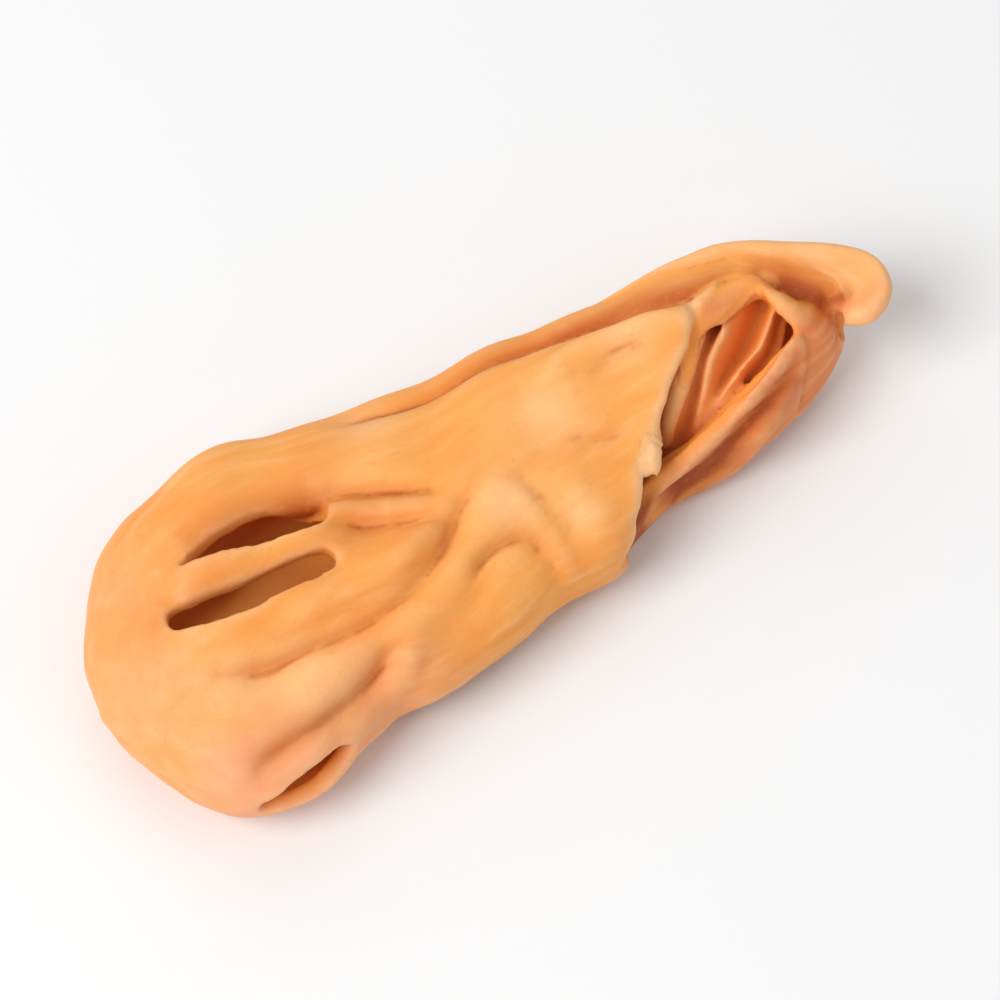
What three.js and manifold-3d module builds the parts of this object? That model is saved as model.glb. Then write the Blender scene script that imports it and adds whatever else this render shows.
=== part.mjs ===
// Dried nutmeg aril: one whole blade of mace, lying on its flatter side.
//
// The aril is a thin leathery sheath that grew round the nutmeg seed and was pressed flat as it dried.
// Its rounded base closes at -X. From there the sheath runs to +X as two facing sheets that split into
// ribs with lens-shaped slits between them. The front sheet ends in a slanting torn edge, the mouth,
// and the back sheet goes on past it as lobes that gather into a hooked tip.
// Millimetres, +Z up, origin under the middle of the blade on the surface it lies on.
import * as THREE from "three";
import { mergeVertices } from "three/addons/utils/BufferGeometryUtils.js";
import Module from "manifold-3d";

// Driving dimensions
const SHEET = 1.0; // thickness of the dried sheet
const THIN = 0.72; // its thickness at the mouth's torn edge
const CORNER = 0.65; // how far the mouth's near corner is turned outwards
const SEAM = 0.16; // half width of a slit's line where the slit is closed
const FULLNESS = { front: 0.9, back: 0.7 }; // 1 gives an elliptical section, less a fuller one
const COLOUR = 0xf0a552;
const CENTRE = [-0.25, 0.18]; // middle of the plan in the coordinates below, where the origin goes

// The blade's plan is a loft between its far edge and its near edge, from the base pole to the tip.
// Each station joins one point of either edge, so a station can slant across the blade.
// far and near are [x, y, z]; front and back are how high each sheet stands off the line between them.
const STATIONS = [
  { far: [-23.4, -0.9, 3.0], near: [-23.4, -0.9, 3.0], front: 0.0, back: 0.0 },
  { far: [-22.7, 2.2, 3.1], near: [-22.8, -4.0, 3.0], front: 1.35, back: 1.1 },
  { far: [-20.8, 5.5, 3.2], near: [-21.2, -7.0, 3.1], front: 2.2, back: 1.9 },
  { far: [-17.8, 8.0, 3.3], near: [-19.1, -9.2, 3.2], front: 2.7, back: 2.35 },
  { far: [-14.3, 9.3, 3.4], near: [-16.4, -9.5, 3.3], front: 2.8, back: 2.5 },
  { far: [-10.9, 9.6, 3.4], near: [-13.3, -8.1, 3.3], front: 2.8, back: 2.5 },
  { far: [-7.2, 8.5, 3.4], near: [-10.6, -7.2, 3.2], front: 2.8, back: 2.45 },
  { far: [-1.6, 7.9, 3.4], near: [-7.6, -7.7, 3.1], front: 2.7, back: 2.4 },
  { far: [4.6, 7.8, 3.7], near: [-4.2, -6.8, 3.1], front: 2.6, back: 2.4 },
  { far: [10.4, 6.9, 4.6], near: [-0.3, -5.6, 3.1], front: 2.5, back: 2.75 },
  { far: [15.8, 5.9, 5.5], near: [3.6, -5.0, 3.2], front: 2.4, back: 3.2 },
  { far: [17.8, 5.2, 5.7], near: [7.4, -3.1, 3.0], front: 2.3, back: 3.5 },
  { far: [19.3, 4.3, 5.7], near: [11.2, -2.9, 2.9], front: 2.3, back: 3.5 },
  { far: [20.4, 3.2, 5.5], near: [14.9, -2.3, 2.9], front: 2.2, back: 3.1 },
  { far: [21.0, 2.2, 5.5], near: [18.0, -1.2, 3.1], front: 1.6, back: 2.5 },
  { far: [21.3, 1.3, 5.2], near: [20.1, 0.0, 3.8], front: 0.65, back: 0.75 },
];
const LAST = STATIONS.length - 1;
const MOUTH = 10; // the station where the front sheet ends
const TIP = 13.5; // the station where the sheets meet again

// Ribs are parted along these rails. at is [station, degrees round the section]: 0 is the far edge,
// 90 the front, 180 the near edge and 270 the back. A slit opens between two stations to half a width
// in mm. ends say how sharply it closes at its first and last station: less is blunter.
const RAILS = [
  {
    at: [
      [0, 60], [3.4, 65.5], [4.0, 67], [4.6, 70.5], [5.1, 73], [5.7, 74], [6.5, 71],
      [8, 62], [9.5, 63], [10.2, 60], [11, 46], [12, 38], [15, 50],
    ],
    slits: [{ from: 3.4, to: 5.8, half: 0.88, ends: [0.75, 0.4] }],
  },
  {
    at: [
      [0, 78], [2.6, 79], [3.25, 83.5], [4.3, 90], [5.1, 94.5], [5.8, 95.5],
      [8, 95], [10, 92], [15, 92],
    ],
    slits: [{ from: 2.75, to: 5.75, half: 0.95, ends: [0.16, 0.14] }],
  },
  {
    at: [
      [0, 176], [2.8, 179], [4.0, 175], [5.2, 175], [8, 174], [10, 172],
      [11, 155], [12, 132], [13, 106], [14, 90], [15, 82],
    ],
    slits: [{ from: 2.9, to: 4.75, half: 0.7, ends: [0.5, 0.5] }],
  },
  {
    at: [[0, 218], [5, 220], [10, 216], [15, 200]],
    slits: [
      { from: 5.7, to: 8.8, half: 0.75, ends: [0.4, 0.6] },
      { from: 11.0, to: 13.4, half: 0.55, ends: [0.5, 0.5] },
    ],
  },
  {
    at: [[0, 264], [4, 262], [8, 268], [12, 262], [15, 262]],
    slits: [
      { from: 2.0, to: 4.3, half: 0.6, ends: [0.5, 0.5] },
      { from: 5.9, to: 9.3, half: 0.85, ends: [0.4, 0.6] },
    ],
  },
  {
    at: [[0, 312], [5, 314], [10, 318], [15, 322]],
    slits: [{ from: 6.3, to: 9.2, half: 0.7, ends: [0.6, 0.4] }],
  },
];
const CELLS = [7, 3, 9, 6, 6, 6, 6]; // cells from rail to rail, starting and ending at the far edge
const RIM_RAIL = 0;
const LOBE_RAIL = 2;

// Relief pressed into or raised from one sheet along a line [x, y]: height in mm, and half width in mm.
// A power over 2 gives it a flatter floor and steeper sides.
const RELIEF = [
  // the front sheet dips to its two long slits, with a rib between them
  { side: 1, height: -0.5, half: 1.3, line: [[-16.3, 4.1], [-14.0, 4.5], [-11.3, 4.3], [-8.6, 4.0]] },
  { side: 1, height: -0.4, half: 1.1, line: [[-19.1, 1.1], [-16.7, 1.1], [-13.8, 0.6], [-9.7, 0.4]] },
  { side: 1, height: 0.25, half: 0.9, line: [[-17.5, 2.6], [-13.5, 2.6], [-10.4, 2.4]] },
  // the groove and the hollow past the slits
  {
    side: 1,
    height: -0.9,
    half: 0.8,
    line: [[-11.2, 4.0], [-9.8, 3.7], [-8.2, 3.3], [-6.8, 2.9], [-5.4, 2.4], [-3.9, 1.8]],
  },
  { side: 1, height: -0.75, half: 1.3, line: [[-8.8, 1.6], [-7.6, 1.0], [-6.4, 0.5]] },
  // the long crease, the rib over it and the fold under it
  {
    side: 1,
    height: -0.7,
    half: 0.8,
    line: [
      [-18.2, -3.1], [-16.2, -3.7], [-14.1, -3.9], [-11.9, -4.0], [-9.6, -3.9],
      [-7.6, -3.4], [-5.6, -2.5], [-4.2, -1.3], [-2.8, -0.3],
    ],
  },
  { side: 1, height: 0.35, half: 1.0, line: [[-5.4, -1.5], [-7.6, -2.1], [-10.5, -2.1], [-14.0, -1.8]] },
  { side: 1, height: 0.45, half: 1.0, line: [[-4.2, -3.1], [-7.0, -4.6], [-10.5, -5.3], [-14.5, -5.3]] },
  // the wedge-shaped valley at the near side, and the rib beside it
  {
    side: 1,
    height: -0.9,
    half: 0.9,
    line: [[-18.6, -7.9], [-15.6, -7.5], [-13.7, -7.1], [-12.0, -6.6], [-10.2, -5.7]],
  },
  { side: 1, height: 0.4, half: 0.8, line: [[-8.8, -6.0], [-10.6, -6.8], [-12.4, -7.6], [-13.7, -8.3]] },
  // the arched dimple, and the ridge that runs from it towards the near corner
  {
    side: 1,
    height: -0.7,
    half: 0.8,
    line: [[-4.2, -3.9], [-3.2, -3.4], [-2.3, -3.2], [-1.4, -3.3], [-0.6, -3.8], [-0.2, -4.6]],
  },
  { side: 1, height: 0.3, half: 0.8, line: [[-0.1, -1.2], [0.1, -2.8], [0.4, -4.0], [0.4, -5.2]] },
  // the fold that runs beside the rim to the mouth's far corner
  {
    side: 1,
    height: 0.55,
    half: 0.8,
    line: [[4.6, 3.6], [6.2, 4.1], [7.6, 4.1], [9.1, 4.0], [10.4, 3.8], [11.5, 3.2], [12.9, 2.7]],
  },
  { side: 1, height: 0.3, half: 1.8, line: [[3.0, 3.2], [5.6, 2.6]] },
  // the hollow under the lip
  { side: 1, height: -2.8, half: 1.4, power: 3, line: [[18.6, 3.5], [19.3, 2.5], [19.9, 1.4]] },
  // the back sheet's three strongest ribs, which the blade lies on, and the hollows beside them
  { side: -1, height: 1.15, half: 1.7, line: [[-19.0, -4.3], [-15.5, -5.4], [-11.0, -5.5]] },
  { side: -1, height: 1.15, half: 1.7, line: [[-16.5, 4.9], [-12.0, 5.9], [-6.5, 5.6]] },
  { side: -1, height: 0.7, half: 1.6, line: [[7.5, 0.4], [12.0, 1.2], [16.0, 1.9]] },
  { side: -1, height: -0.6, half: 1.0, line: [[-19.5, -1.6], [-13.0, -2.3], [-6.0, -2.4], [1.0, -1.4]] },
  { side: -1, height: -0.6, half: 1.0, line: [[-18.5, 1.9], [-12.0, 2.6], [-4.0, 2.8], [3.0, 3.2], [9.0, 3.8]] },
];

// Grooves and crests near the edges, where the sheet stands too steep for a line in plan. at is
// [station, degrees], height in mm, and half the width in degrees.
const FURROWS = [
  // the gully between the rolled rim and the front sheet
  {
    at: [
      [6.6, 29], [7.4, 31], [8.2, 34], [8.8, 38], [9.3, 42], [9.8, 45],
      [10.1, 44], [10.6, 36], [11.2, 28], [11.8, 24],
    ],
    height: -1.2,
    half: 8,
  },
  // the near lobe's inner crest, the groove along it and its outer crest
  {
    at: [[10.6, 160], [11.15, 152], [11.5, 144], [11.8, 137], [12.2, 130], [12.6, 120], [13.0, 107]],
    height: 0.35,
    half: 8,
  },
  { at: [[10.9, 179], [11.4, 175], [11.8, 166], [12.2, 156], [12.6, 143], [13.0, 129]], height: -1.0, half: 10 },
  { at: [[11.6, 206], [12.0, 200], [12.4, 188], [12.7, 172], [13.0, 155], [13.4, 136]], height: 0.35, half: 9 },
];

// Ribbons fused to the sheath. width and thickness are stated at each point of the line, and dome is how
// far the edges hang below the middle. blunt rounds the last points of the line off. A fold is a crest
// along the ribbon: its place across it, from -1 to 1, its height at each point, and the half widths of
// its right and its left flank.
const LOBES = [
  // the rolled rim, which runs on round the tip and ends in the blunt lip
  {
    line: [
      [9.5, 6.9, 5.0], [12.0, 6.5, 5.6], [14.5, 6.2, 6.05], [17.0, 5.8, 6.25], [19.5, 4.5, 6.3],
      [21.4, 3.0, 6.2], [22.15, 1.6, 6.1], [22.1, 0.4, 6.0], [21.4, -0.2, 5.9], [20.7, -0.3, 5.7],
    ],
    width: [0.3, 0.6, 0.8, 0.7, 0.5, 0.9, 1.7, 2.1, 1.9, 1.6],
    thickness: [0.8, 1.4, 1.5, 1.4, 1.3, 1.4, 1.6, 1.6, 1.4, 1.2],
    dome: 0.3,
    blunt: 1.2,
    folds: [],
    columns: 5,
  },
  // the fold from the sheet's far corner to the knot under the rim
  {
    line: [
      [12.4, 3.0, 6.5], [13.1, 3.0, 6.9], [14.3, 3.1, 6.8], [15.7, 3.3, 6.6], [16.9, 3.5, 6.4], [17.8, 3.4, 6.1],
    ],
    width: [1.0, 1.4, 1.4, 1.3, 1.3, 0.8],
    thickness: [0.9, 1.0, 1.0, 1.0, 0.9, 0.7],
    dome: 0.5,
    blunt: 0,
    folds: [],
    columns: 5,
  },
  // the fan of pleats inside the mouth, which gathers in the knot
  {
    line: [
      [8.0, -1.6, 1.2], [10.3, -0.9, 1.5], [12.2, 0.1, 2.2],
      [13.9, 1.2, 2.9], [15.6, 2.4, 3.6], [17.7, 3.6, 4.7],
    ],
    width: [3.0, 3.8, 4.7, 5.2, 4.8, 3.4],
    thickness: [0.9, 0.9, 0.9, 0.9, 0.9, 0.9],
    dome: 0.2,
    blunt: 0,
    folds: [
      { at: [0.28, 0.4, 0.4, 0.5, 0.64, 0.6], height: [0.1, 2.4, 3.4, 3.6, 2.9, 0.8], flanks: [0.16, 0.36] },
      { at: [-0.2, -0.15, -0.03, 0.15, 0.12, 0.2], height: [0.1, 0.8, 2.1, 2.5, 2.3, 1.0], flanks: [0.16, 0.16] },
      { at: [-0.5, -0.35, -0.28, -0.38, -0.6, -0.6], height: [0.5, 1.0, 1.7, 2.1, 2.1, 1.2], flanks: [0.18, 0.2] },
      { at: [-1.0, -1.0, -1.0, -1.0, -1.0, -1.0], height: [0.4, 0.8, 1.1, 1.1, 0.8, 0.4], flanks: [0.2, 0.2] },
    ],
    columns: 19,
  },
  // the tooth that curls over the torn edge
  {
    line: [[8.1, 0.7, 6.1], [7.8, -0.4, 6.3], [7.35, -1.6, 6.25], [6.95, -2.6, 6.0], [6.7, -3.3, 5.5]],
    width: [0.6, 1.0, 1.5, 1.4, 0.8],
    thickness: [0.6, 0.7, 0.75, 0.75, 0.6],
    dome: 0.3,
    blunt: 0.8,
    folds: [],
    columns: 5,
  },
];
const THINNEST = 0.6; // least thickness of a ribbon
const CREST_POWER = 1.4; // 2 gives a fold a rounder crest, 1 a sharper one
const JOIN_POWER = 3; // folds side by side add up at 1, and only the higher one counts when this is large

const clamp01 = (v) => Math.min(1, Math.max(0, v));
const smoothstep = (a, b, v) => {
  const u = clamp01((v - a) / (b - a));
  return u * u * (3 - 2 * u);
};

// A smooth curve through (keys[i], values[i]), with the slope at each key taken from its neighbours.
function smoothThrough(keys, values, at) {
  const last = keys.length - 1;
  const slope = (k) => {
    const a = Math.max(0, k - 1);
    const b = Math.min(last, k + 1);
    return (values[b] - values[a]) / (keys[b] - keys[a]);
  };
  let i = 0;
  while (i < last - 1 && at > keys[i + 1]) i += 1;
  const span = keys[i + 1] - keys[i];
  const u = clamp01((at - keys[i]) / span);
  const u2 = u * u;
  const u3 = u2 * u;
  return (
    (2 * u3 - 3 * u2 + 1) * values[i] +
    (u3 - 2 * u2 + u) * span * slope(i) +
    (3 * u2 - 2 * u3) * values[i + 1] +
    (u3 - u2) * span * slope(i + 1)
  );
}

const STATION_KEYS = STATIONS.map((_, i) => i);
const edgePoint = (edge, t) =>
  new THREE.Vector3(...[0, 1, 2].map((k) => smoothThrough(STATION_KEYS, STATIONS.map((s) => s[edge][k]), t)));
const standOff = (sheet, t) => smoothThrough(STATION_KEYS, STATIONS.map((s) => s[sheet]), t);

// A point of the plain bag, before relief: t along the stations, angle round the section in radians.
function bagPoint(t, angle) {
  const far = edgePoint("far", t);
  const near = edgePoint("near", t);
  const across = Math.cos(angle);
  const up = Math.sin(angle);
  const point = near.lerp(far, (1 + across) / 2);
  const sheet = up > 0 ? "front" : "back";
  point.z += Math.sign(up) * Math.abs(up) ** FULLNESS[sheet] * standOff(sheet, t);
  return point;
}

// The normal of a surface given as a function of two values, by central differences.
function normalOf(surface, t, angle) {
  const OFF_POLE = 0.03; // the first station at which the section has a width
  const STEP_T = 0.02;
  const STEP_ANGLE = 0.02;
  const low = Math.max(OFF_POLE, t - STEP_T);
  const high = Math.max(low + STEP_T, Math.min(LAST, t + STEP_T));
  const along = surface(high, angle).sub(surface(low, angle));
  const offPole = Math.max(OFF_POLE, t);
  const round = surface(offPole, angle + STEP_ANGLE).sub(surface(offPole, angle - STEP_ANGLE));
  return round.cross(along).normalize();
}

// How far x, y lies from a line of points, and how far along it, from 0 to 1.
function nearestOnLine(line, x, y) {
  let best = Infinity;
  let where = 0;
  for (let i = 0; i < line.length - 1; i += 1) {
    const [ax, ay] = line[i];
    const [bx, by] = line[i + 1];
    const u = clamp01(((x - ax) * (bx - ax) + (y - ay) * (by - ay)) / ((bx - ax) ** 2 + (by - ay) ** 2));
    const d = Math.hypot(x - ax - u * (bx - ax), y - ay - u * (by - ay));
    if (d < best) {
      best = d;
      where = (i + u) / (line.length - 1);
    }
  }
  return [best, where];
}

// The smooth version of a relief line, sampled once.
function smoothLine(points) {
  const keys = points.map((_, i) => i);
  const samples = 5 * (points.length - 1);
  return Array.from({ length: samples + 1 }, (_, i) => {
    const at = (i / samples) * (points.length - 1);
    return [0, 1].map((k) => smoothThrough(keys, points.map((p) => p[k]), at));
  });
}
for (const r of RELIEF) r.smooth = smoothLine(r.line);

// Height of all relief lines at a point of the bag.
function reliefAt(point, up) {
  const FADE = 0.12; // share of a line's length over which it fades out at either end
  let sum = 0;
  for (const r of RELIEF) {
    const side = smoothstep(0.02, 0.35, r.side * up);
    if (side === 0) continue;
    const [distance, where] = nearestOnLine(r.smooth, point.x, point.y);
    const end = smoothstep(-FADE, FADE, where) * smoothstep(1 + FADE, 1 - FADE, where);
    sum += side * end * r.height * Math.exp(-((distance / r.half) ** (r.power ?? 2)));
  }
  return sum;
}

// Height of all furrows at a station and an angle.
function furrowsAt(t, angle) {
  const FADE = 0.5; // stations over which a furrow fades out at either end
  const degrees = THREE.MathUtils.radToDeg(angle);
  let sum = 0;
  for (const f of FURROWS) {
    const first = f.at[0][0];
    const last = f.at[f.at.length - 1][0];
    const end = smoothstep(first - FADE, first + FADE, t) * smoothstep(last + FADE, last - FADE, t);
    const off = (degrees - smoothThrough(f.at.map((p) => p[0]), f.at.map((p) => p[1]), t)) / f.half;
    sum += end * f.height * Math.exp(-(off ** 2));
  }
  return sum;
}

// Slow undulation that the sheet dried into.
const undulation = (p) =>
  0.16 * Math.sin(0.52 * p.x + 0.31 * p.y + 1.1) * Math.cos(0.61 * p.y - 0.2 * p.x) +
  0.08 * Math.sin(1.15 * p.x - 0.55 * p.y + 2.3);

// A point of the middle of the sheet, with relief.
function sheetPoint(t, angle) {
  const point = bagPoint(t, angle);
  const normal = normalOf(bagPoint, t, angle);
  const grown = smoothstep(0, 1.5, t);
  const pressed = reliefAt(point, Math.sin(angle)) + furrowsAt(t, angle);
  return point.addScaledVector(normal, grown * (pressed + undulation(point)));
}

// How far the outer and inner face stand off the middle of the sheet. The front sheet thins towards the
// mouth on either side, and its near corner is turned outwards over the lobe that comes from inside it.
function sheetOffsets(t, angle) {
  const degrees = THREE.MathUtils.radToDeg(angle);
  const front = smoothstep(36, 48, degrees) * smoothstep(196, 182, degrees);
  const corner = smoothstep(120, 150, degrees) * smoothstep(215, 190, degrees);
  const before = smoothstep(MOUTH - 1.6, MOUTH, t) * (t > MOUTH + 0.01 ? 0 : 1);
  const after = smoothstep(TIP + 1, TIP, t) * (t < TIP - 0.01 ? 0 : 1);
  const half = SHEET / 2 - (front * (before + after) * (SHEET - THIN)) / 2;
  return [half + CORNER * corner * before, half];
}

// Half the width of a rail's slit at a station, in mm.
function slitHalf(rail, t) {
  let half = SEAM;
  for (const s of rail.slits) {
    const u = (t - s.from) / (s.to - s.from);
    if (u <= 0 || u >= 1) continue;
    const [a, b] = s.ends;
    const widest = a / (a + b);
    half = Math.max(half, (s.half * u ** a * (1 - u) ** b) / (widest ** a * (1 - widest) ** b));
  }
  return half;
}
const isOpen = (rail, t) => rail.slits.some((s) => t > s.from && t < s.to);

// The mouth's torn edge wanders along the blade, with one tooth; this many stations at an angle.
function mouthOffset(angle) {
  const degrees = THREE.MathUtils.radToDeg(angle);
  const within = smoothstep(36, 60, degrees) * smoothstep(185, 165, degrees);
  const tooth = 0.12 * Math.exp(-(((degrees - 116) / 7) ** 2));
  return within * (0.16 + tooth + 0.05 * Math.sin(5.1 * angle + 0.6) + 0.05 * Math.sin(11 * angle));
}

// The closed tip begins this many stations sooner beside the rim, at an angle.
function tipOffset(angle) {
  const degrees = THREE.MathUtils.radToDeg(angle);
  return -1.9 * smoothstep(8, 40, degrees) * smoothstep(125, 42, degrees);
}

const wandering = (t, angle) =>
  t +
  mouthOffset(angle) * smoothstep(MOUTH - 1.5, MOUTH, t) * smoothstep(TIP, MOUTH, t) +
  tipOffset(angle) * smoothstep(MOUTH, TIP, t) * smoothstep(LAST, TIP, t);

// The angles of all columns at one station: rails with their two borders, and even steps between them.
function columnAngles(t) {
  const STEP = 0.05;
  const borders = [0];
  for (const rail of RAILS) {
    const degrees = smoothThrough(rail.at.map((p) => p[0]), rail.at.map((p) => p[1]), t);
    const angle = THREE.MathUtils.degToRad(degrees);
    const [before, after] = [angle - STEP, angle + STEP].map((a) => bagPoint(Math.max(t, 1), a));
    const half = (slitHalf(rail, t) * 2 * STEP) / before.distanceTo(after);
    borders.push(angle - half, angle + half);
  }
  borders.push(2 * Math.PI);
  const angles = [];
  CELLS.forEach((count, part) => {
    const [a, b] = [borders[2 * part], borders[2 * part + 1]];
    for (let i = 0; i <= count; i += 1) angles.push(a + ((b - a) * i) / count);
  });
  return angles.slice(0, -1); // the last one is the far edge again
}

// A closed solid round a grid of points. offsets() gives how far the outer and the inner face stand off
// each point. Row 0 may be a single point, the columns may close on themselves, and cells that present()
// refuses are left open.
function shellGeometry({ rows, columns, closed, pole, point, normal, present, offsets }) {
  const vertices = [];
  const index = (i, j, inner) => 2 * (pole && i === 0 ? 0 : i * columns + (j % columns)) + inner;
  for (let i = 0; i < rows; i += 1) {
    for (let j = 0; j < columns; j += 1) {
      const p = point(i, j);
      const n = normal(i, j);
      const [outer, inner] = offsets(i, j);
      const top = p.clone().addScaledVector(n, outer);
      const under = p.addScaledVector(n, -inner);
      vertices.push(top.x, top.y, Math.max(0, top.z), under.x, under.y, under.z);
    }
  }
  const faces = [];
  const face = (a, b, c) => {
    if (a !== b && b !== c && c !== a) faces.push(a, b, c);
  };
  const cellColumns = closed ? columns : columns - 1;
  const there = (i, j) => {
    if (i < 0 || i >= rows - 1) return false;
    if (!closed && (j < 0 || j >= cellColumns)) return false;
    return present(i, (j + cellColumns) % cellColumns);
  };
  const wall = (a, b) => {
    face(a, b, b + 1);
    face(a, b + 1, a + 1);
  };
  for (let i = 0; i < rows - 1; i += 1) {
    for (let j = 0; j < cellColumns; j += 1) {
      if (!there(i, j)) continue;
      const [a, b, c, d] = [index(i, j, 0), index(i, j + 1, 0), index(i + 1, j + 1, 0), index(i + 1, j, 0)];
      face(a, b, c);
      face(a, c, d);
      face(a + 1, c + 1, b + 1);
      face(a + 1, d + 1, c + 1);
      if (!there(i - 1, j) && !(pole && i === 0)) wall(b, a);
      if (!there(i + 1, j)) wall(d, c);
      if (!there(i, j - 1)) wall(a, d);
      if (!there(i, j + 1)) wall(c, b);
    }
  }
  const geometry = new THREE.BufferGeometry();
  geometry.setAttribute("position", new THREE.Float32BufferAttribute(vertices, 3));
  geometry.setIndex(faces);
  return geometry;
}

// The stations of the bag's rows: closer together at the pole, and one row exactly at the mouth.
function bagRows() {
  const span = (from, to, count) => Array.from({ length: count }, (_, i) => from + ((to - from) * i) / count);
  return [...span(0, 1, 4), ...span(1, MOUTH, 29), ...span(MOUTH, TIP, 9), ...span(TIP, LAST, 4), LAST];
}

function bagGeometry() {
  const stations = bagRows();
  const angles = stations.map(columnAngles);
  const columns = angles[0].length;
  const at = (i, j) => wandering(stations[i], angles[i][j]);
  const gaps = [];
  let column = -1;
  CELLS.slice(0, -1).forEach((count) => {
    column += count + 1;
    gaps.push(column);
  });
  const present = (i, j) => {
    const middle = (stations[i] + stations[i + 1]) / 2;
    const rail = gaps.indexOf(j);
    if (rail >= 0 && isOpen(RAILS[rail], middle)) return false;
    const inFront = j >= gaps[RIM_RAIL] && j <= gaps[LOBE_RAIL];
    return !(inFront && middle > MOUTH && middle < TIP);
  };
  return shellGeometry({
    rows: stations.length,
    columns,
    closed: true,
    pole: true,
    point: (i, j) => sheetPoint(at(i, j), angles[i][j]),
    normal: (i, j) =>
      i === 0 ? new THREE.Vector3(-1, 0, 0) : normalOf(sheetPoint, at(i, j), angles[i][j]),
    present,
    offsets: (i, j) => sheetOffsets(stations[i], angles[i][j]),
  });
}

// A domed ribbon along a smooth line, with crests along it.
function lobeGeometry({ line, width, thickness, dome, blunt, folds, columns }) {
  const ROWS_PER_SPAN = 3;
  const LOOK = 0.05; // how far either way along the line its direction is read
  const LEFT = 0.03; // what a blunt end keeps, squared
  const last = line.length - 1;
  const keys = line.map((_, i) => i);
  const along = (values, t) => smoothThrough(keys, values, t);
  const centre = (t) => new THREE.Vector3(...[0, 1, 2].map((k) => along(line.map((p) => p[k]), t)));
  const rounding = (t) => {
    if (blunt === 0) return 1;
    return Math.sqrt(Math.max(LEFT, 1 - clamp01((t - last + blunt) / blunt) ** 2));
  };
  const surface = (t, v) => {
    const forward = centre(Math.min(last, t + LOOK)).sub(centre(Math.max(0, t - LOOK))).normalize();
    const side = new THREE.Vector3(0, 0, 1).cross(forward).normalize();
    const up = forward.clone().cross(side);
    const half = (along(width, t) / 2) * rounding(t);
    return centre(t).addScaledVector(side, v * half).addScaledVector(up, -dome * v * v);
  };
  const normal = (t, v) => {
    const STEP = 0.02;
    const ahead = surface(Math.min(last, t + STEP), v).sub(surface(Math.max(0, t - STEP), v));
    return ahead.cross(surface(t, v + STEP).sub(surface(t, v - STEP))).normalize();
  };
  const crest = (fold, t, v) => {
    const off = v - along(fold.at, t);
    const flank = fold.flanks[off < 0 ? 0 : 1];
    return along(fold.height, t) * Math.exp(-((Math.abs(off) / flank) ** CREST_POWER));
  };
  const crests = (t, v) => folds.reduce((sum, f) => sum + crest(f, t, v) ** JOIN_POWER, 0) ** (1 / JOIN_POWER);
  const at = (i) => i / ROWS_PER_SPAN;
  const across = (j) => 1 - (2 * j) / (columns - 1);
  const offsets = (t, v) => {
    const rounded = (along(thickness, t) / 2) * rounding(t) * (0.5 + 0.5 * Math.sqrt(1 - v * v));
    const half = Math.max(THINNEST / 2, rounded);
    return [half + crests(t, v), half];
  };
  return shellGeometry({
    rows: ROWS_PER_SPAN * last + 1,
    columns,
    closed: false,
    pole: false,
    point: (i, j) => surface(at(i), across(j)),
    normal: (i, j) => normal(at(i), across(j)),
    present: () => true,
    offsets: (i, j) => offsets(at(i), across(j)),
  });
}

const wasm = await Module();
wasm.setup();

// A closed geometry as a solid that can be joined to others.
function solidOf(geometry) {
  const merged = mergeVertices(geometry, 1e-4);
  return new wasm.Manifold(
    new wasm.Mesh({
      numProp: 3,
      vertProperties: new Float32Array(merged.attributes.position.array),
      triVerts: new Uint32Array(merged.index.array),
    }),
  );
}

function geometryOf(solid) {
  const mesh = solid.getMesh();
  const geometry = new THREE.BufferGeometry();
  geometry.setAttribute("position", new THREE.BufferAttribute(new Float32Array(mesh.vertProperties), 3));
  geometry.setIndex(new THREE.BufferAttribute(new Uint32Array(mesh.triVerts), 1));
  geometry.computeVertexNormals();
  return geometry;
}

const whole = LOBES.map((lobe) => solidOf(lobeGeometry(lobe))).reduce(
  (joined, lobe) => joined.add(lobe),
  solidOf(bagGeometry()),
);

const SLIVER = 0.015; // mm by which the surface may move where slivers left by joining are dropped
const geometry = geometryOf(whole.simplify(SLIVER));
geometry.translate(-CENTRE[0], -CENTRE[1], 0);

const aril = new THREE.Mesh(
  geometry,
  new THREE.MeshStandardMaterial({ color: COLOUR, roughness: 0.62, metalness: 0, side: THREE.DoubleSide }),
);
aril.name = "aril";

const group = new THREE.Group();
group.add(aril);
export default group;
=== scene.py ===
"""One whole dried nutmeg aril, a blade of mace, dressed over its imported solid.

The aril grew as one leathery sheath round the nutmeg and collapsed as it dried. It is made here as the
same form as the solid at a finer grain: a sheath lofted from a closed base to a torn mouth, with slits
between its ribs, plus the pleats inside the mouth and the lip that hooks round the tip. The pieces are
fused, then wrinkled along the way the ribs run. Lengths are in millimetres until the last step.
"""

import enum
import logging
import math
from dataclasses import dataclass, field
from typing import Callable

import bmesh
import bpy
import numpy as np
from mathutils import Matrix, Vector, noise
from mathutils.kdtree import KDTree

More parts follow.
